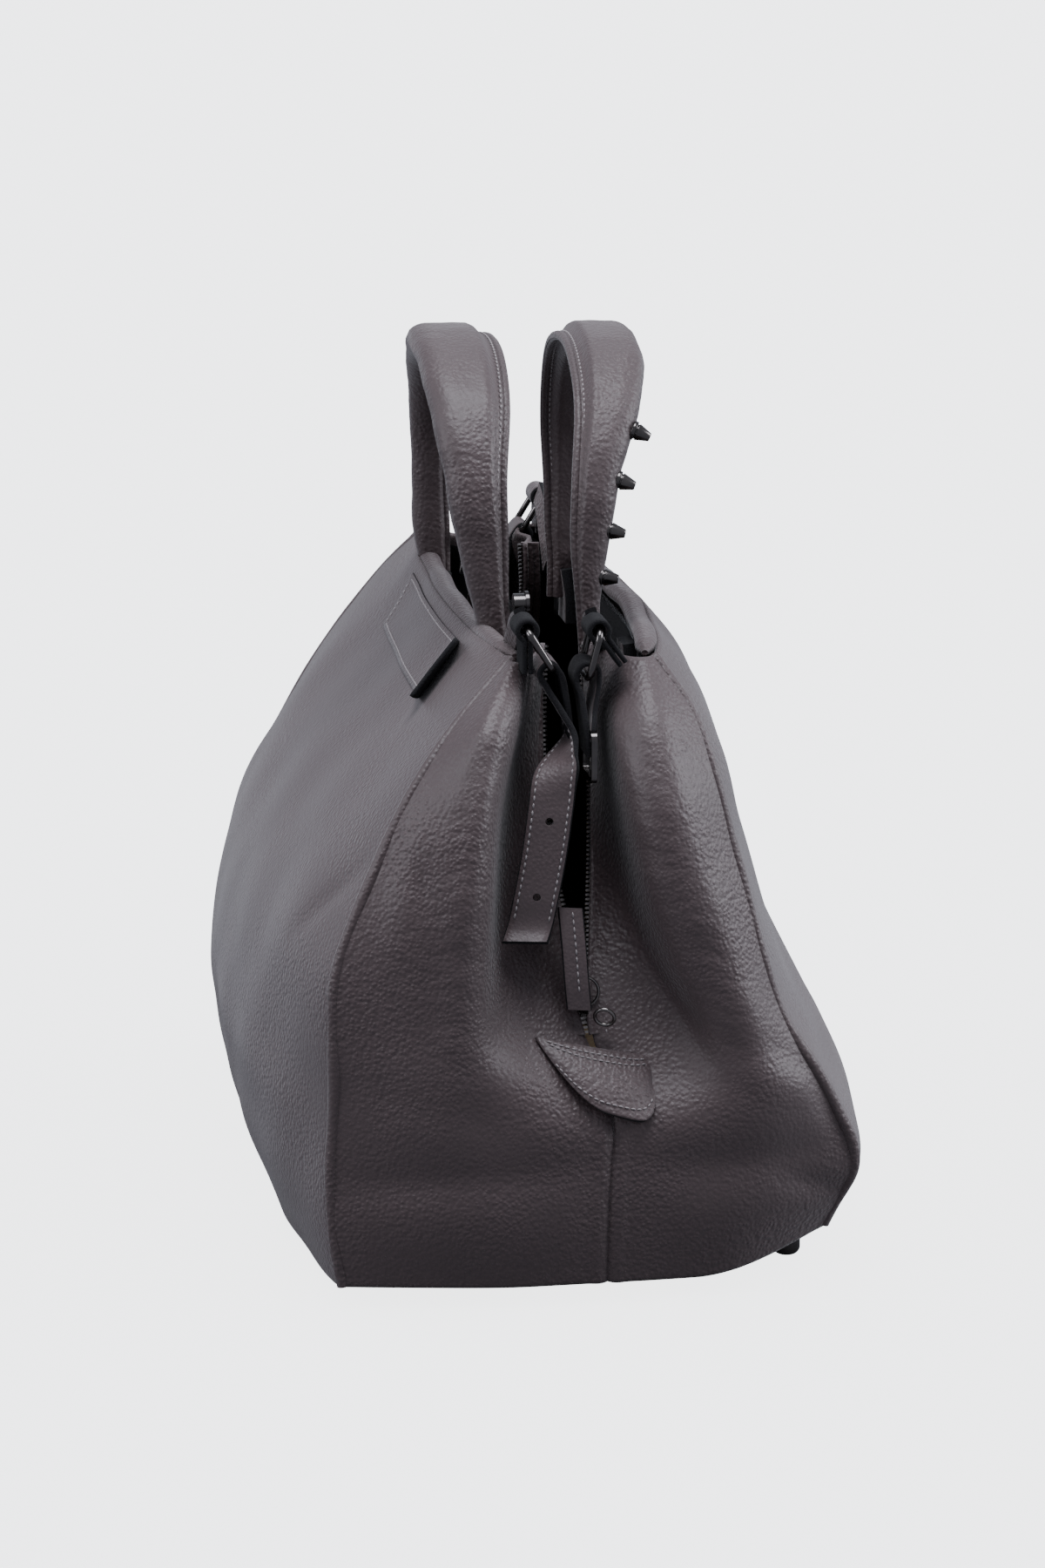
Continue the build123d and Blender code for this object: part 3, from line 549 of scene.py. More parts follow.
def bottom_sheet(name, ring, low, drop, material):
    """Flat sheet that fills a ring, made of smaller and smaller copies of it."""
    shares = [1.0, 0.997, 0.985, 0.95, 0.85, 0.7, 0.5, 0.3, 0.1, 0.001]
    grid = np.array([ring * (share, share, 1) for share in shares])
    for k, share in enumerate(shares):
        sink = min(k / 2, 1)
        grid[k, :, 2] = ring[:, 2] - drop * sink - (ring[:, 2] - low) * min((1 - share) * 6, 1)
    grid = np.concatenate([grid, grid[:, :1]], axis=1)
    return leather_sheet(name, grid, material, 0.0)


base = bottom_sheet("base_leather", bottom_ring(0.2), 8.0, 1.2, body_leather)
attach(base, "bag")
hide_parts("base_panel")

fibre_board, shader, _ = mottled("pressed_fibre_board", 400.0, 5.0, "5A4A38", "7B6A52")
shader.inputs["Roughness"].default_value = 0.9
board = bottom_sheet("base_board_fibre", bottom_ring(3.6) + (0, 0, 3.2), 12.0, 0.5, fibre_board)
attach(board, "bag")
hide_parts("base_board")


# --- Seam rolls -----------------------------------------------------------------------------
# Each long panel meets its gussets in a turned seam: the two edges are sewn face to face and
# the panel's hide rolls over the stitches as a soft cord.

def leather_tube(name, grid, material):
    """Closed tube through rings of points in millimetres, with its two ends filled."""
    r, c = grid.shape[:2]
    faces = []
    for i in range(r - 1):
        for j in range(c):
            k = (j + 1) % c
            faces.append((i * c + j, i * c + k, (i + 1) * c + k, (i + 1) * c + j))
    faces.append(tuple(range(c))[::-1])
    faces.append(tuple((r - 1) * c + j for j in range(c)))
    piece = mesh_piece(name, grid, faces, material)
    pick([piece])
    bpy.ops.object.mode_set(mode="EDIT")
    bpy.ops.mesh.select_all(action="SELECT")
    bpy.ops.mesh.normals_make_consistent(inside=False)
    bpy.ops.object.mode_set(mode="OBJECT")
    bpy.ops.object.shade_smooth_by_angle(angle=math.radians(50))
    return piece


def rings_along(path, across, up, half_across, half_up, count=12):
    """Oval rings of points along a path, with their half sizes in two directions."""
    turn = np.linspace(0, 2 * math.pi, count, endpoint=False)
    return (path[:, None, :] + across[:, None, :] * (half_across * np.cos(turn))[:, :, None]
            + up[:, None, :] * (half_up * np.sin(turn))[:, :, None])


def unit(vectors):
    """Vectors of length one."""
    return vectors / np.maximum(np.linalg.norm(vectors, axis=-1, keepdims=True), 1e-9)


def same(vector, count):
    """One direction, given to every point of a path."""
    return np.tile(np.array(vector, float), (count, 1))


seam_places = {
    "piping_left_back": ("panel_back", 0, (-0.7, 0.7, 0)),
    "piping_left_front": ("panel_front", 0, (-0.7, -0.7, 0)),
    "piping_right_back": ("panel_back", -1, (0.7, 0.7, 0)),
    "piping_right_front": ("panel_front", -1, (0.7, -0.7, 0)),
}
for node_name, (panel, column, away) in seam_places.items():
    path = shell[panel][:, column]
    away = same(away, len(path))
    tangent = unit(np.gradient(path, axis=0))
    across = unit(away - tangent * (away * tangent).sum(1, keepdims=True))
    up = np.cross(tangent, across)
    swell = (2.7 + 0.35 * np.sin(path[:, 2] / 9.0) * np.sin(path[:, 2] / 23.0))[:, None]
    roll = leather_tube("seam_roll_" + node_name[7:], rings_along(
        path + across * 0.2, across, up, swell, swell), body_leather)
    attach(roll, "bag")
    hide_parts(node_name)


# --- Stitching ------------------------------------------------------------------------------
# Waxed light-grey thread, 3 mm to the stitch: each stitch is a small bead of thread that dips
# into its holes at both ends.

waxed_thread, shader = new_material("waxed_polyester_thread")
shader.inputs["Base Color"].default_value = hex_colour("6A6364")
shader.inputs["Roughness"].default_value = 0.6
shader.inputs["Sheen Weight"].default_value = 0.2


def distances(path):
    """Distance of each point of a path from its start."""
    return np.concatenate([[0], np.cumsum(np.linalg.norm(np.diff(path, axis=0), axis=1))])


def at(distance, run, values):
    """What is found at one distance along a path, among values given at its points."""
    return np.array([np.interp(distance, run, values[:, a]) for a in range(3)])


def stitches(name, path, up, body, pitch=3.1, length=2.3, girth=0.42):
    """Row of stitches along a path, lying on the surface that faces up."""
    run = distances(path)
    points, faces = [], []
    for k in range(int(run[-1] // pitch)):
        middle = (k + 0.5) * pitch
        start, end = at(middle - 0.5, run, path), at(middle + 0.5, run, path)
        lift = unit(at(middle, run, up))
        along = unit(end - start)
        side = np.cross(lift, along)
        centre = (start + end) / 2
        first = len(points)
        for share, size in ((-0.5, 0.35), (-0.22, 1.0), (0.22, 1.0), (0.5, 0.35)):
            for angle in range(5):
                turn = 2 * math.pi * angle / 5
                rise = (math.sin(turn) * size + size - 0.9) * girth
                points.append(centre + along * length * share
                              + side * math.cos(turn) * girth * size + lift * rise)
        for ring in range(3):
            for j in range(5):
                a, b = first + ring * 5 + j, first + ring * 5 + (j + 1) % 5
                faces.append((a, b, b + 5, a + 5))
        faces.append(tuple(first + j for j in range(5))[::-1])
        faces.append(tuple(first + 15 + j for j in range(5)))
    row = mesh_piece(name, points, faces, waxed_thread)
    shade_smooth(row)
    if body:
        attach(row, body)
    return row


# --- Rim facings and mouth zip --------------------------------------------------------------
# A leather band inside each rim, and inside it a placket with one half of the metal zip. The
# hide rolls over the top of both as a soft edge, with a row of stitches below it.

zip_brass, shader, _ = mottled(
    "gunmetal_plated_brass", 300.0, 4.0, "4E4B4C", "77726F", gloss=(0.14, 0.34))
shader.inputs["Metallic"].default_value = 1.0


def zip_teeth(name, path, across, up, body, pitch=2.0):
    """Row of zip teeth: each is a small stamped block across the tape's edge."""
    run = distances(path)
    points, faces = [], []
    for k in range(int(run[-1] // pitch)):
        middle = (k + 0.5) * pitch
        centre = at(middle, run, path)
        side = unit(at(middle, run, across))
        lift = unit(at(middle, run, up))
        along = np.cross(side, lift)
        first = len(points)
        for s, wide, tall in ((-1.4, 0.42, 0.8), (0.5, 0.5, 1.05), (1.3, 0.36, 0.85)):
            for a, b in ((-1, -1), (1, -1), (1, 1), (-1, 1)):
                points.append(centre + side * s + along * a * wide + lift * b * tall)
        for ring in range(2):
            for j in range(4):
                a, b = first + ring * 4 + j, first + ring * 4 + (j + 1) % 4
                faces.append((a, b, b + 4, a + 4))
        faces.append((first + 3, first + 2, first + 1, first))
        faces.append((first + 8, first + 9, first + 10, first + 11))
    row = mesh_piece(name, points, faces, zip_brass)
    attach(row, body)
    return row


for side_name, sy in (("back", 1), ("front", -1)):
    rim = shell["panel_" + side_name][-1]
    for node_name, inset, low, high, reach in (
        ("rim_facing_", 3.0, 228, 263, 126), ("zip_placket_", 5.2, 234, 257, 114),
    ):
        x = np.linspace(-reach, reach, 90)
        order = np.argsort(rim[:, 0])
        y = np.interp(x, rim[order, 0], rim[order, 1]) - sy * inset
        band = np.zeros((12, 90, 3))
        for k, z in enumerate(np.linspace(low, high, 12)):
            band[k] = np.stack([x, y - sy * 0.6 * np.sin(x / 9.0) * (high - z) / 30, x * 0 + z], 1)
        piece = leather_sheet(
            node_name + side_name + "_leather", band, [body_leather, flesh_side], 1.4, flip=sy > 0)
        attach(piece, "bag")
        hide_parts(node_name + side_name)
    roll_line = rim[4:-4] + np.array([0, -sy * 4.0, -0.5])
    roll_line[:, 2] += 1.2 * np.sin(roll_line[:, 0] / 14.0) * np.sin(roll_line[:, 0] / 37.0)
    count = len(roll_line)
    from_end = np.minimum(np.arange(count), count - 1 - np.arange(count))
    narrow = np.clip(from_end / 9, 0.08, 1)[:, None] ** 0.5
    roll = leather_tube("rim_roll_" + side_name, rings_along(
        roll_line, same([0, 1, 0], count), same([0, 0, 1], count), 5.0 * narrow, 4.0 * narrow, 16
    ), body_leather)
    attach(roll, "bag")
    edge = band[-1] - (0, sy * 0.7, 0)
    teeth = zip_teeth("zip_teeth_mouth_" + side_name, edge, same([0, 0, 1], 90),
                      same([0, -sy, 0], 90), "bag")
    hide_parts("zip_teeth_" + side_name)
    stitches("stitches_rim_" + side_name, rim[8:-8] + (0, 0, -7) + np.array([0, sy * 1.2, 0]),
             same([0, sy, 0.3], len(rim) - 16), "bag")


# --- Handles --------------------------------------------------------------------------------
# Soft calf wrapped round a felt core. The hide meets in a flat double welt along the edge that
# faces the bag's middle, with a row of stitches beside it, and the other edge is a full fold.

# Stations from the root at the camera's end over the top to the far root: place along the
# bag, height, the welt's place and the fold's place across the bag, and thickness.
handle_stations = {
    "back": [
        (-88, 244, 22, 34, 8), (-88, 262, 22, 37, 11), (-88, 275, 23, 39, 12),
        (-87, 300, 23, 45, 13), (-83, 327, 23, 50, 15), (-64, 356, 19, 54, 15),
        (-33, 373, 17, 56, 14), (0, 378, 17, 56, 13), (33, 373, 19, 53, 13),
        (64, 356, 23, 49, 13), (83, 327, 27, 45, 12), (87, 300, 27, 44, 11),
        (88, 275, 26, 43, 11), (88, 262, 26, 41, 10), (88, 244, 26, 38, 8),
    ],
    "front": [
        (-88, 244, -8, -17, 8), (-88, 262, -7, -17, 10), (-88, 275, -6, -17, 10),
        (-87, 300, -4, -20, 11), (-83, 327, -5, -26, 13), (-64, 356, -9, -38, 15),
        (-33, 373, -11, -44, 14), (0, 378, -12, -45, 13), (33, 373, -12, -46, 13),
        (64, 356, -14, -46, 13), (83, 327, -16, -45, 12), (87, 300, -18, -43, 11),
        (88, 275, -19, -38, 11), (88, 262, -20, -37, 10), (88, 244, -20, -36, 8),
    ],
}


def handle_rings(stations, count=170, around=22):
    """Rings of points along a handle, and for each station its place and directions."""
    table = np.array(stations, float)
    run = np.concatenate([[0], np.cumsum(np.hypot(np.diff(table[:, 0]), np.diff(table[:, 1])))])
    s = np.linspace(0, run[-1], count)
    x, z, welt, fold, thick = through(run, table, s).T
    tangent = unit(np.stack([np.gradient(x), x * 0, np.gradient(z)], 1))
    out = np.stack([-tangent[:, 2], x * 0, tangent[:, 0]], 1)
    width = np.abs(fold - welt)
    side = np.zeros((count, 3))
    side[:, 1] = np.sign(fold - welt)
    start = np.stack([x, welt, z], 1)
    half = np.linspace(0, 1, around)
    rings = []
    for k in range(count):
        w, t = width[k], thick[k] / 2
        a = half * w
        rise = np.clip((a - 0.12 * w) / (0.16 * w), 0, 1)
        body = 1.7 + (t - 1.7) * rise * rise * (3 - 2 * rise)
        close = np.clip((a - (w - t * 1.5)) / (t * 1.5), 0, 1)
        body = body * np.sqrt(np.maximum(1 - close**2, 0.0))
        body[0] = 1.0
        top = start[k] + side[k] * a[:, None] + out[k] * body[:, None]
        under = start[k] + side[k] * a[:, None] - out[k] * body[:, None]
        rings.append(np.concatenate([top, under[-2:0:-1], under[:1]]))
    return np.array(rings), start, side, out


for side_name, sy in (("back", 1), ("front", -1)):
    rings, start, side, out = handle_rings(handle_stations[side_name])
    normals = normals_of(rings)
    crumple = ripple(rings, 3 + sy, 12, 0.12) + ripple(rings, 11 + sy, 34, 0.35)
    across = np.linspace(0, 1, rings.shape[1] // 2)
    slack = np.concatenate([across, across[::-1], [0] * (rings.shape[1] - 2 * len(across))])
    rings += normals * (crumple * np.clip(slack * 4 - 0.8, 0, 1)[None, :])[..., None]
    handle = leather_tube("handle_" + side_name + "_leather", rings, handle_leather)
    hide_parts("handle_wrap_" + side_name, "handle_core_" + side_name)
    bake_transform(handle)
    for face, way in (("outer", 1), ("inner", -1)):
        line = start + side * 4.2 + out * way * 2.0
        row = stitches("stitches_handle_" + side_name + "_" + face, line[20:-20],
                       out[20:-20] * way, None)
        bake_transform(row)
        groove = rings_along(start + side * 1.9 + out * way * 1.25, side, out,
                             np.full((len(start), 1), 1.5), np.full((len(start), 1), 0.95), 8)
        welt = leather_tube("welt_handle_" + side_name + "_" + face, groove, handle_leather)
        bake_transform(welt)


# --- Handle anchors -------------------------------------------------------------------------
# Each leg of a handle ends in a block of layered leather, sewn between facing and placket. It
# fills the narrow end of the wrap and holds the leg upright.

def ribbon(name, centre, across, width, thickness, materials, flesh_back=True):
    """Strip of hide along a path: grain on one face, raw flesh on its edges and back."""
    centre = np.asarray(centre, float)
    across = unit(np.asarray(across, float))
    tangent = unit(np.gradient(centre, axis=0))
    out = unit(np.cross(across, tangent))
    width = np.broadcast_to(np.asarray(width, float), (len(centre),))
    w = width / 2
    t = thickness / 2
    e = min(0.5, t * 0.6)
    face = [(-1, t, e), (-0.6, t, 0), (-0.2, t, 0), (0.2, t, 0), (0.6, t, 0), (1, t, -e)]
    ring = []
    for a, b, pull in face:
        ring.append(centre + across * (a * w + pull)[:, None] + out * b)
    ring.append(centre + across * w[:, None] + out * (t - e))
    ring.append(centre + across * w[:, None] - out * (t - e))
    for a, b, pull in face[::-1]:
        ring.append(centre + across * (a * w + pull)[:, None] - out * b)
    ring.append(centre - across * w[:, None] - out * (t - e))
    ring.append(centre - across * w[:, None] + out * (t - e))
    grid = np.stack(ring, 1)
    strip = leather_tube(name, grid, materials)
    columns = grid.shape[1]
    for polygon in strip.data.polygons:
        rim = [v % columns for v in polygon.vertices]
        grain = len(rim) == 4 and max(rim) <= 5
        back = len(rim) == 4 and 8 <= min(rim) and max(rim) <= 13
        polygon.material_index = 0 if grain or (back and not flesh_back) else 1
    return strip


def smooth_path(points, count):
    """Evenly spaced points of a smooth line through the points given."""
    points = np.asarray(points, float)
    run = distances(points)
    return through(run, points, np.linspace(0, run[-1], count))


for side_name, sy in (("back", 1), ("front", -1)):
    rim = shell["panel_" + side_name][-1]
    order = np.argsort(rim[:, 0])
    blocks = []
    for sx in (-1, 1):
        y = np.interp(sx * 87, rim[order, 0], rim[order, 1])
        line = smooth_path([(sx * 87, y - sy * 9.0, 233), (sx * 87, y - sy * 9.0, 246),
                            (sx * 88, y - sy * 10.5, 258)], 14)
        across = same([1.0, 0.0, 0.0], 14)
        blocks.append(ribbon("anchor", line, across, np.linspace(24, 17, 14), 6.0,
                             [body_leather, flesh_side], flesh_back=False))
    anchor = joined("handle_anchor_%s_sewn" % side_name, blocks)
    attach(anchor, "bag")
    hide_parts("handle_anchor_" + side_name)


# --- Studs and rivets -----------------------------------------------------------------------
# Turned cone studs in a row down the front handle's fold, screwed through the hide from inside.
# Each is a broad foot with a groove and a cone with a flat tip, plated in dark gunmetal.

gunmetal, shader, _ = mottled(
    "gunmetal_plate_polished", 120.0, 5.0, "3A3839", "5C5856", gloss=(0.12, 0.30))
shader.inputs["Metallic"].default_value = 1.0

# Steps of a stud: where each starts and ends along the axis, and its radius at both ends.
stud_steps = [(-1.0, 0.7, 4.2, 4.2), (0.5, 1.5, 3.3, 3.3), (1.4, 7.5, 3.8, 1.8)]


def cone_stud(place, axis):
    """Stud turned in three steps, with its edges eased. Place is in millimetres."""
    axis = mathutils.Vector(axis).normalized()
    turned = []
    for low, high, wide, narrow in stud_steps:
        middle = mathutils.Vector(place) + axis * (low + high) / 2
        bpy.ops.mesh.primitive_cone_add(
            vertices=32, radius1=wide * 0.001, radius2=narrow * 0.001, depth=(high - low) * 0.001,
            location=middle * 0.001, rotation=axis.to_track_quat("Z", "Y").to_euler())
        step = bpy.context.object
        ease = step.modifiers.new("ease", "BEVEL")
        ease.width = 0.0003
        ease.segments = 3
        bpy.ops.object.modifier_apply(modifier="ease")
        bpy.ops.object.transform_apply(location=True, rotation=True, scale=True)
        bpy.ops.object.shade_smooth_by_angle(angle=math.radians(50))
        step.data.materials.append(gunmetal)
        turned.append(step)
    return turned


studs = []
table = np.array(handle_stations["front"], float)
for leg in (0, 1):
    part = table[1:8] if leg == 0 else table[7:14][::-1]
    for z in (286, 306, 327, 347):
        x, fold = through(part[:, 1], part[:, [0, 3]], z)
        slant = through(part[:, 1], part[:, 3], z + 8) - through(part[:, 1], part[:, 3], z - 8)
        studs += cone_stud((x, fold + 0.6, z), (-0.28 if leg == 0 else 0.2, -1, slant / 16))
stud_set = joined("handle_studs_turned", studs)
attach(stud_set, "handle_front")
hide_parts("handle_studs")


# --- Ring loops, rings and belts ------------------------------------------------------------
# Each end has two bent-wire rings. A rolled strip of leather carries each ring on its rim, and
# two straps hang from the rings: one with a buckle, one punched, both with raw dark edges.

def round_bar(centre_y, centre_z, radius, low_y, low_z, gap, x, count=40):
    """Path of a strip that comes up from one place, goes round a bar and back down."""
    down = math.atan2(low_z - centre_z, low_y - centre_y)
    turn = np.linspace(down + 0.55, down + 2 * math.pi - 0.55, count)
    loop = [(x, centre_y + radius * math.cos(a), centre_z + radius * math.sin(a)) for a in turn]
    way = np.array([0, low_y - centre_y, low_z - centre_z], float)
    way /= np.linalg.norm(way)
    aside = np.array([0, -way[2], way[1]])
    foot = np.array([x, low_y, low_z], float)
    halfway = foot * 0.5 + np.array([x, centre_y, centre_z]) * 0.5
    start = [foot + aside * gap, halfway + aside * gap]
    end = [halfway - aside * gap, foot - aside * gap]
    return np.array(start + loop + end)


strap_faces = [strap_leather, flesh_side]
punch_radius = 0.0017
loop_radius, loop_gap, loop_width, loop_thickness = 4.1, 1.3, 18.0, 2.0
belt_width, belt_thickness = 19.0, 2.6
buckle_strap_width, buckle_strap_thickness = 18.0, 2.2
ring_bars = {"back": (27.0, 280.0, 27.0, 262.0), "front": (-3.0, 279.0, -13.0, 265.0)}
names_right = {"back": "front", "front": "back"}
for end_name, flip in (("left", 1), ("right", -1)):
    turn = np.array([flip, flip, 1.0])
    for seat, (y, z, low_y, low_z) in ring_bars.items():
        side_name = seat if flip == 1 else names_right[seat]
        path = smooth_path(round_bar(y, z, loop_radius, low_y, low_z, loop_gap, -163), 70)
        across = same([1, 0, 0], 70)
        piece = ribbon("ring_loop_%s_%s_rolled" % (end_name, side_name), path * turn, across,
                       loop_width, loop_thickness, [body_leather, flesh_side])
        tail = smooth_path([(-156, y, z + 2), (-146, y * 0.9 + low_y * 0.1, z - 2),
                            (-134, y * 0.4 + low_y * 0.6, z - 12), (-120, low_y, 255)], 30)
        across = same([0.1, 0.35, 1.0], 30)
        strip = ribbon("tail", tail * turn, across * turn, np.linspace(10, 13, 30), 5.0,
                       [body_leather, flesh_side], flesh_back=False)
        loop_piece = joined(piece.name, [piece, strip])
        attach(loop_piece, "bag")
        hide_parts("ring_loop_%s_%s" % (end_name, side_name))
    path = smooth_path([
        (-165, 8.0, 226), (-164, 9.5, 240), (-163, 11.0, 252), (-163, 13.5, 262),
        (-163, 18.0, 266.5), (-163, 22.0, 262.5), (-163, 19.0, 256), (-166, 13.0, 246),
        (-171, 8.5, 236), (-177, 12.0, 229), (-183, 17.0, 221), (-186, 19.5, 208),
        (-188, 22.0, 192), (-190, 26.0, 172), (-192, 29.8, 157), (-194.5, 31.5, 153.5),
    ], 130)
    share = np.linspace(0, 1, 130)
    twist = np.clip((share - 0.45) / 0.2, 0, 1)
    twist = (twist * twist * (3 - 2 * twist))[:, None]
    across = unit(np.array([1.0, 0, 0]) * (1 - twist) + np.array([0.2, 1.0, 0.0]) * twist)
    strap = ribbon("belt_strap_%s_punched" % end_name, path * turn, across * turn,
                   belt_width, belt_thickness, strap_faces)
    for along in (0.70, 0.885):
        k = int(along * 129)
        bpy.ops.mesh.primitive_cylinder_add(
            vertices=20, radius=punch_radius, depth=0.012, location=path[k] * turn * 0.001,
            rotation=(0, math.radians(90), 0))
        punch = bpy.context.object
        pick([strap])
        cut = strap.modifiers.new("punch", "BOOLEAN")
        cut.object = punch
        cut.solver = "EXACT"
        bpy.ops.object.modifier_apply(modifier="punch")
        bpy.data.objects.remove(punch)
    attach(strap, "belt_" + end_name)
    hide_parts("belt_strap_" + end_name)
    tangent = unit(np.gradient(path, axis=0))
    out = unit(np.cross(across, tangent))
    for way in (-1, 1):
        line = path + across * way * 7.3 + out * 1.4
        stitches("stitches_belt_%s_%s" % (end_name, "near" if way > 0 else "far"),
                 line[56:124] * turn, out[56:124] * turn, "belt_" + end_name)
    path = smooth_path([
        (-171, 2.5, 228), (-169, 3.2, 240), (-165, 4.6, 252), (-163, 6.5, 260), (-163, 3.5, 265.2),
        (-163, -2.0, 264.0), (-163, -2.8, 257), (-166, -0.8, 247), (-171, 0.6, 238.6),
        (-171, 0.9, 234),
    ], 80)
    across = same([1, 0, 0], 80)
    buckle_strap = ribbon("belt_buckle_strap_%s_folded" % end_name, path * turn, across,
                          buckle_strap_width, buckle_strap_thickness, strap_faces)
    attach(buckle_strap, "belt_" + end_name)
    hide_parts("belt_buckle_strap_" + end_name)


# --- Zip down each end ----------------------------------------------------------------------
# The zip runs out of the mouth and down into both folds, and stands open. Its tapes are bound in
# narrow leather with two rows of stitches, and a half-disc of leather closes the lower end.

def far_turn(grid, end_name):
    """A copy of the camera end's points, turned half a turn for the far end."""
    return grid if end_name == "left" else grid * np.array([-1.0, -1.0, 1.0])


fine_stitch = {"pitch": 2.7, "length": 2.0, "girth": 0.36}
for end_name in ("left", "right"):
    for seat, half, sy in (("back", back_half, 1), ("front", front_half, -1)):
        side_name = seat if end_name == "left" else names_right[seat]
        edge = through(heights, np.array(half, float)[:, 4], heights_down)
        low = np.searchsorted(heights_down, 112)
        line = np.stack([-edge[:, 0] - 2.4, edge[:, 1] + sy * 2.6, heights_down], 1)[low:]
        across = same([0.25, sy, 0], len(line))
        binding = ribbon("zip_strip_%s_%s_bound" % (end_name, side_name),
                         far_turn(line, end_name), far_turn(across, end_name), 8.6, 1.6,
                         [body_leather, body_leather], flesh_back=False)
        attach(binding, "bag")
        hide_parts("zip_strip_%s_%s" % (end_name, side_name))
        forward = same([-1.0, 0.0, 0.35], len(line))
        for row_name, offset in (("inner", -2.6), ("outer", 3.4)):
            row_line = line + np.array([-0.9, sy * offset, 0.0])
            stitches("stitches_zip_%s_%s_%s" % (end_name, side_name, row_name),
                     far_turn(row_line, end_name), far_turn(forward, end_name), "bag",
                     **fine_stitch)
        inner = same([0, -sy, 0], len(line))
        teeth = zip_teeth("zip_teeth_%s_%s" % (end_name, side_name),
                          far_turn(line + np.array([0, -sy * 4.6, 0]), end_name),
                          far_turn(inner, end_name), far_turn(forward, end_name), "bag")
        if seat == "back":
            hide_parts("zip_teeth_" + end_name)
    columns, depth = 41, 24
    u = np.linspace(-1, 1, columns)
    top = np.stack([-197.5 - 1.5 * (1 - u**2), 2.8 + u * 24.5, 108.6 + u * 5.2], 1)
    bend = np.where(u > 0, 1 - np.abs(u) ** 2.3, 1 - np.abs(u) ** 5)
    low = top + np.stack([-18.5 * bend - 1.0, -5.0 * bend, -20.5 * bend - 1.0 - 2.0 * (1 - u)], 1)
    v = np.linspace(0, 1, depth)[:, None, None]
    tab_grid = top[None] * (1 - v) + low[None] * v
    tab_grid[..., 0] -= 3.0 * np.sin(v[..., 0] * math.pi) * bend
    tab_grid[..., 0] -= 2.5 * np.clip(v[..., 0] - 0.75, 0, 1) * 4 * np.clip(-u, 0, 1)
    tab = leather_sheet("zip_tab_%s_halfdisc" % end_name, far_turn(tab_grid, end_name),
                        [body_leather, flesh_side], 2.6)
    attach(tab, "bag")
    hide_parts("zip_tab_" + end_name)
    tab_normals = same([-1.0, 0.0, 0.45], columns)
    for row_name, step in (("top", 2), ("second", 4)):
        stitches("stitches_tab_%s_%s" % (end_name, row_name),
                 far_turn(tab_grid[step, 3:-3] + (-0.3, 0, 0.1), end_name),
                 far_turn(tab_normals[3:-3], end_name), "bag", **fine_stitch)
    stitches("stitches_tab_%s_curve" % end_name,
             far_turn(tab_grid[19, 4:-4] + (-0.3, 0, 0.1), end_name),
             far_turn(tab_normals[4:-4], end_name), "bag", **fine_stitch)


# --- Zip puller -----------------------------------------------------------------------------
# A narrow folded strip of leather with one row of stitches hangs on the slider's ring. A second
# small wire ring lies loose beside it.

puller_line = smooth_path([(-194, 8.6, 124), (-194, 9.6, 134), (-192, 10.6, 150),
                           (-188, 11.6, 166)], 40)
across = same([0.1, 1.0, 0.06], 40)
puller = ribbon("zip_puller_folded", puller_line, across, 10.5, 3.6,
                [strap_leather, flesh_side], flesh_back=False)
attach(puller, "zip_pull")
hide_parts("zip_puller")
bpy.ops.mesh.primitive_torus_add(
    major_radius=0.0041, minor_radius=0.0008, major_segments=36, minor_segments=12,
    location=(-0.1975, -0.0015, 0.121), rotation=(math.radians(18), math.radians(66), 0))
loose_ring = bpy.context.object
loose_ring.name = "zip_loose_ring"
bpy.ops.object.transform_apply(location=True, rotation=True, scale=True)
bpy.ops.object.shade_smooth()
loose_ring.data.materials.append(zip_brass)
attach(loose_ring, "zip_pull")
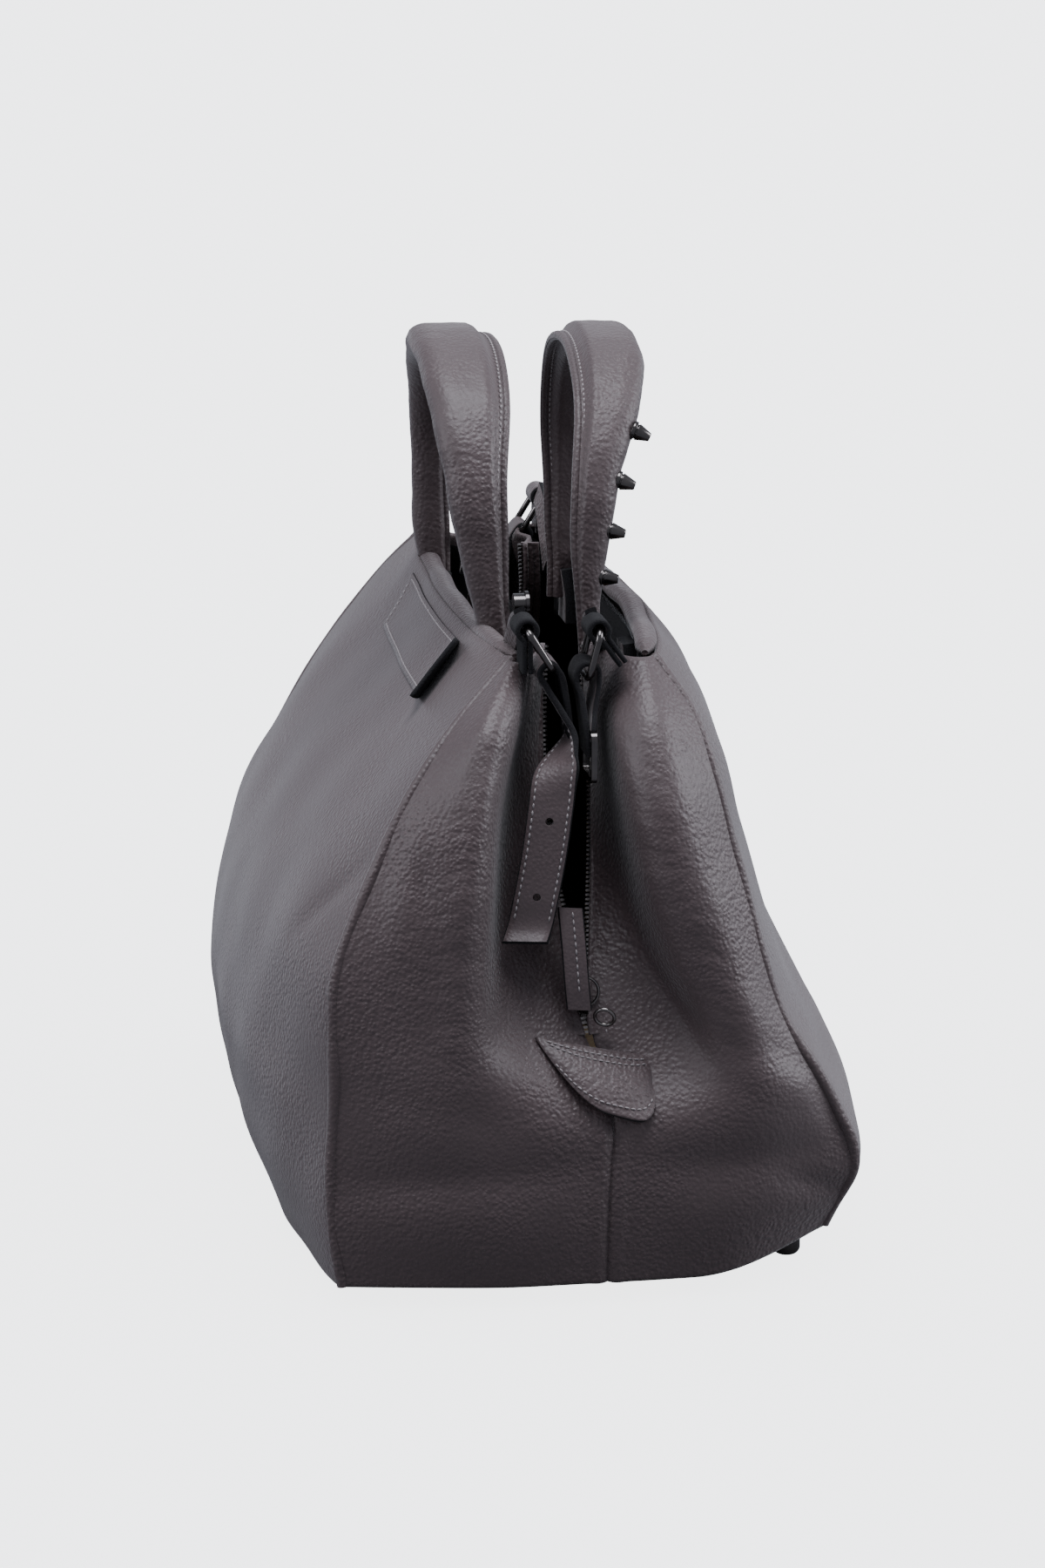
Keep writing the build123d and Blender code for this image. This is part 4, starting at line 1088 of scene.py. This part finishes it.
stitches("stitches_puller", puller_line[7:] + (-2.1, -0.6, 0),
         same([-1.0, 0.0, 0.0], 33), "zip_pull")


# --- Back tab -------------------------------------------------------------------------------
# Long leather tab stitched flat to the back panel below the rim. Its end nearest the buckled
# belts is left free and curls away, and shows its raw dark edge.

panel = shell["panel_back"]
panel_out = shell_normals["panel_back"]
rows_at = np.arange(*np.searchsorted(heights_down, (236, 260)))
x_at = np.linspace(-116, 62, 120)
patch = np.zeros((len(rows_at), 120, 3))
patch_out = np.zeros((len(rows_at), 120, 3))
for i, r in enumerate(rows_at):
    order = np.argsort(panel[r, :, 0])
    slide = x_at + (i / len(rows_at)) * 10
    for a in range(3):
        patch[i, :, a] = np.interp(slide, panel[r, order, 0], panel[r, order, a])
        patch_out[i, :, a] = np.interp(slide, panel[r, order, 0], panel_out[r, order, a])
free = np.clip((-x_at - 84) / 32, 0, 1) ** 2
patch += patch_out * (2.8 + 6.5 * free[None, :, None])
patch_piece = leather_sheet(
    "back_tab_stitched", patch, [body_leather, flesh_side], 1.8, flip=True)
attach(patch_piece, "bag")
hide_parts("back_tab")
for row_name, line, lift in (
    ("low", patch[1, 3:-3], patch_out[1, 3:-3]), ("high", patch[-2, 3:-3], patch_out[-2, 3:-3]),
    ("end", patch[1:-1, 3], patch_out[1:-1, 3]), ("far", patch[1:-1, -4], patch_out[1:-1, -4]),
):
    stitches("stitches_back_tab_" + row_name, line + lift * 0.1, lift, "bag")


# --- Metal parts that stay as they were made ------------------------------------------------
# Bent-wire rings, cast buckles with their prongs, rivets, feet, slider and pull ring. They keep
# the shape they were built with, and only get their plating here.

for node_name, node in frame["nodes"].items():
    plating = None
    if node_name.startswith(("ring_left", "ring_right", "belt_buckle_left", "belt_buckle_right",
                             "belt_prong", "handle_rivets", "feet", "foot_washers")):
        plating = gunmetal
    if node_name in ("zip_slider", "zip_pull_ring"):
        plating = zip_brass
    if plating:
        node.data.materials.clear()
        node.data.materials.append(plating)

for thing in bpy.context.scene.objects:
    if thing.type == "MESH" and thing != floor:
        lit_by_boxes.objects.link(thing)
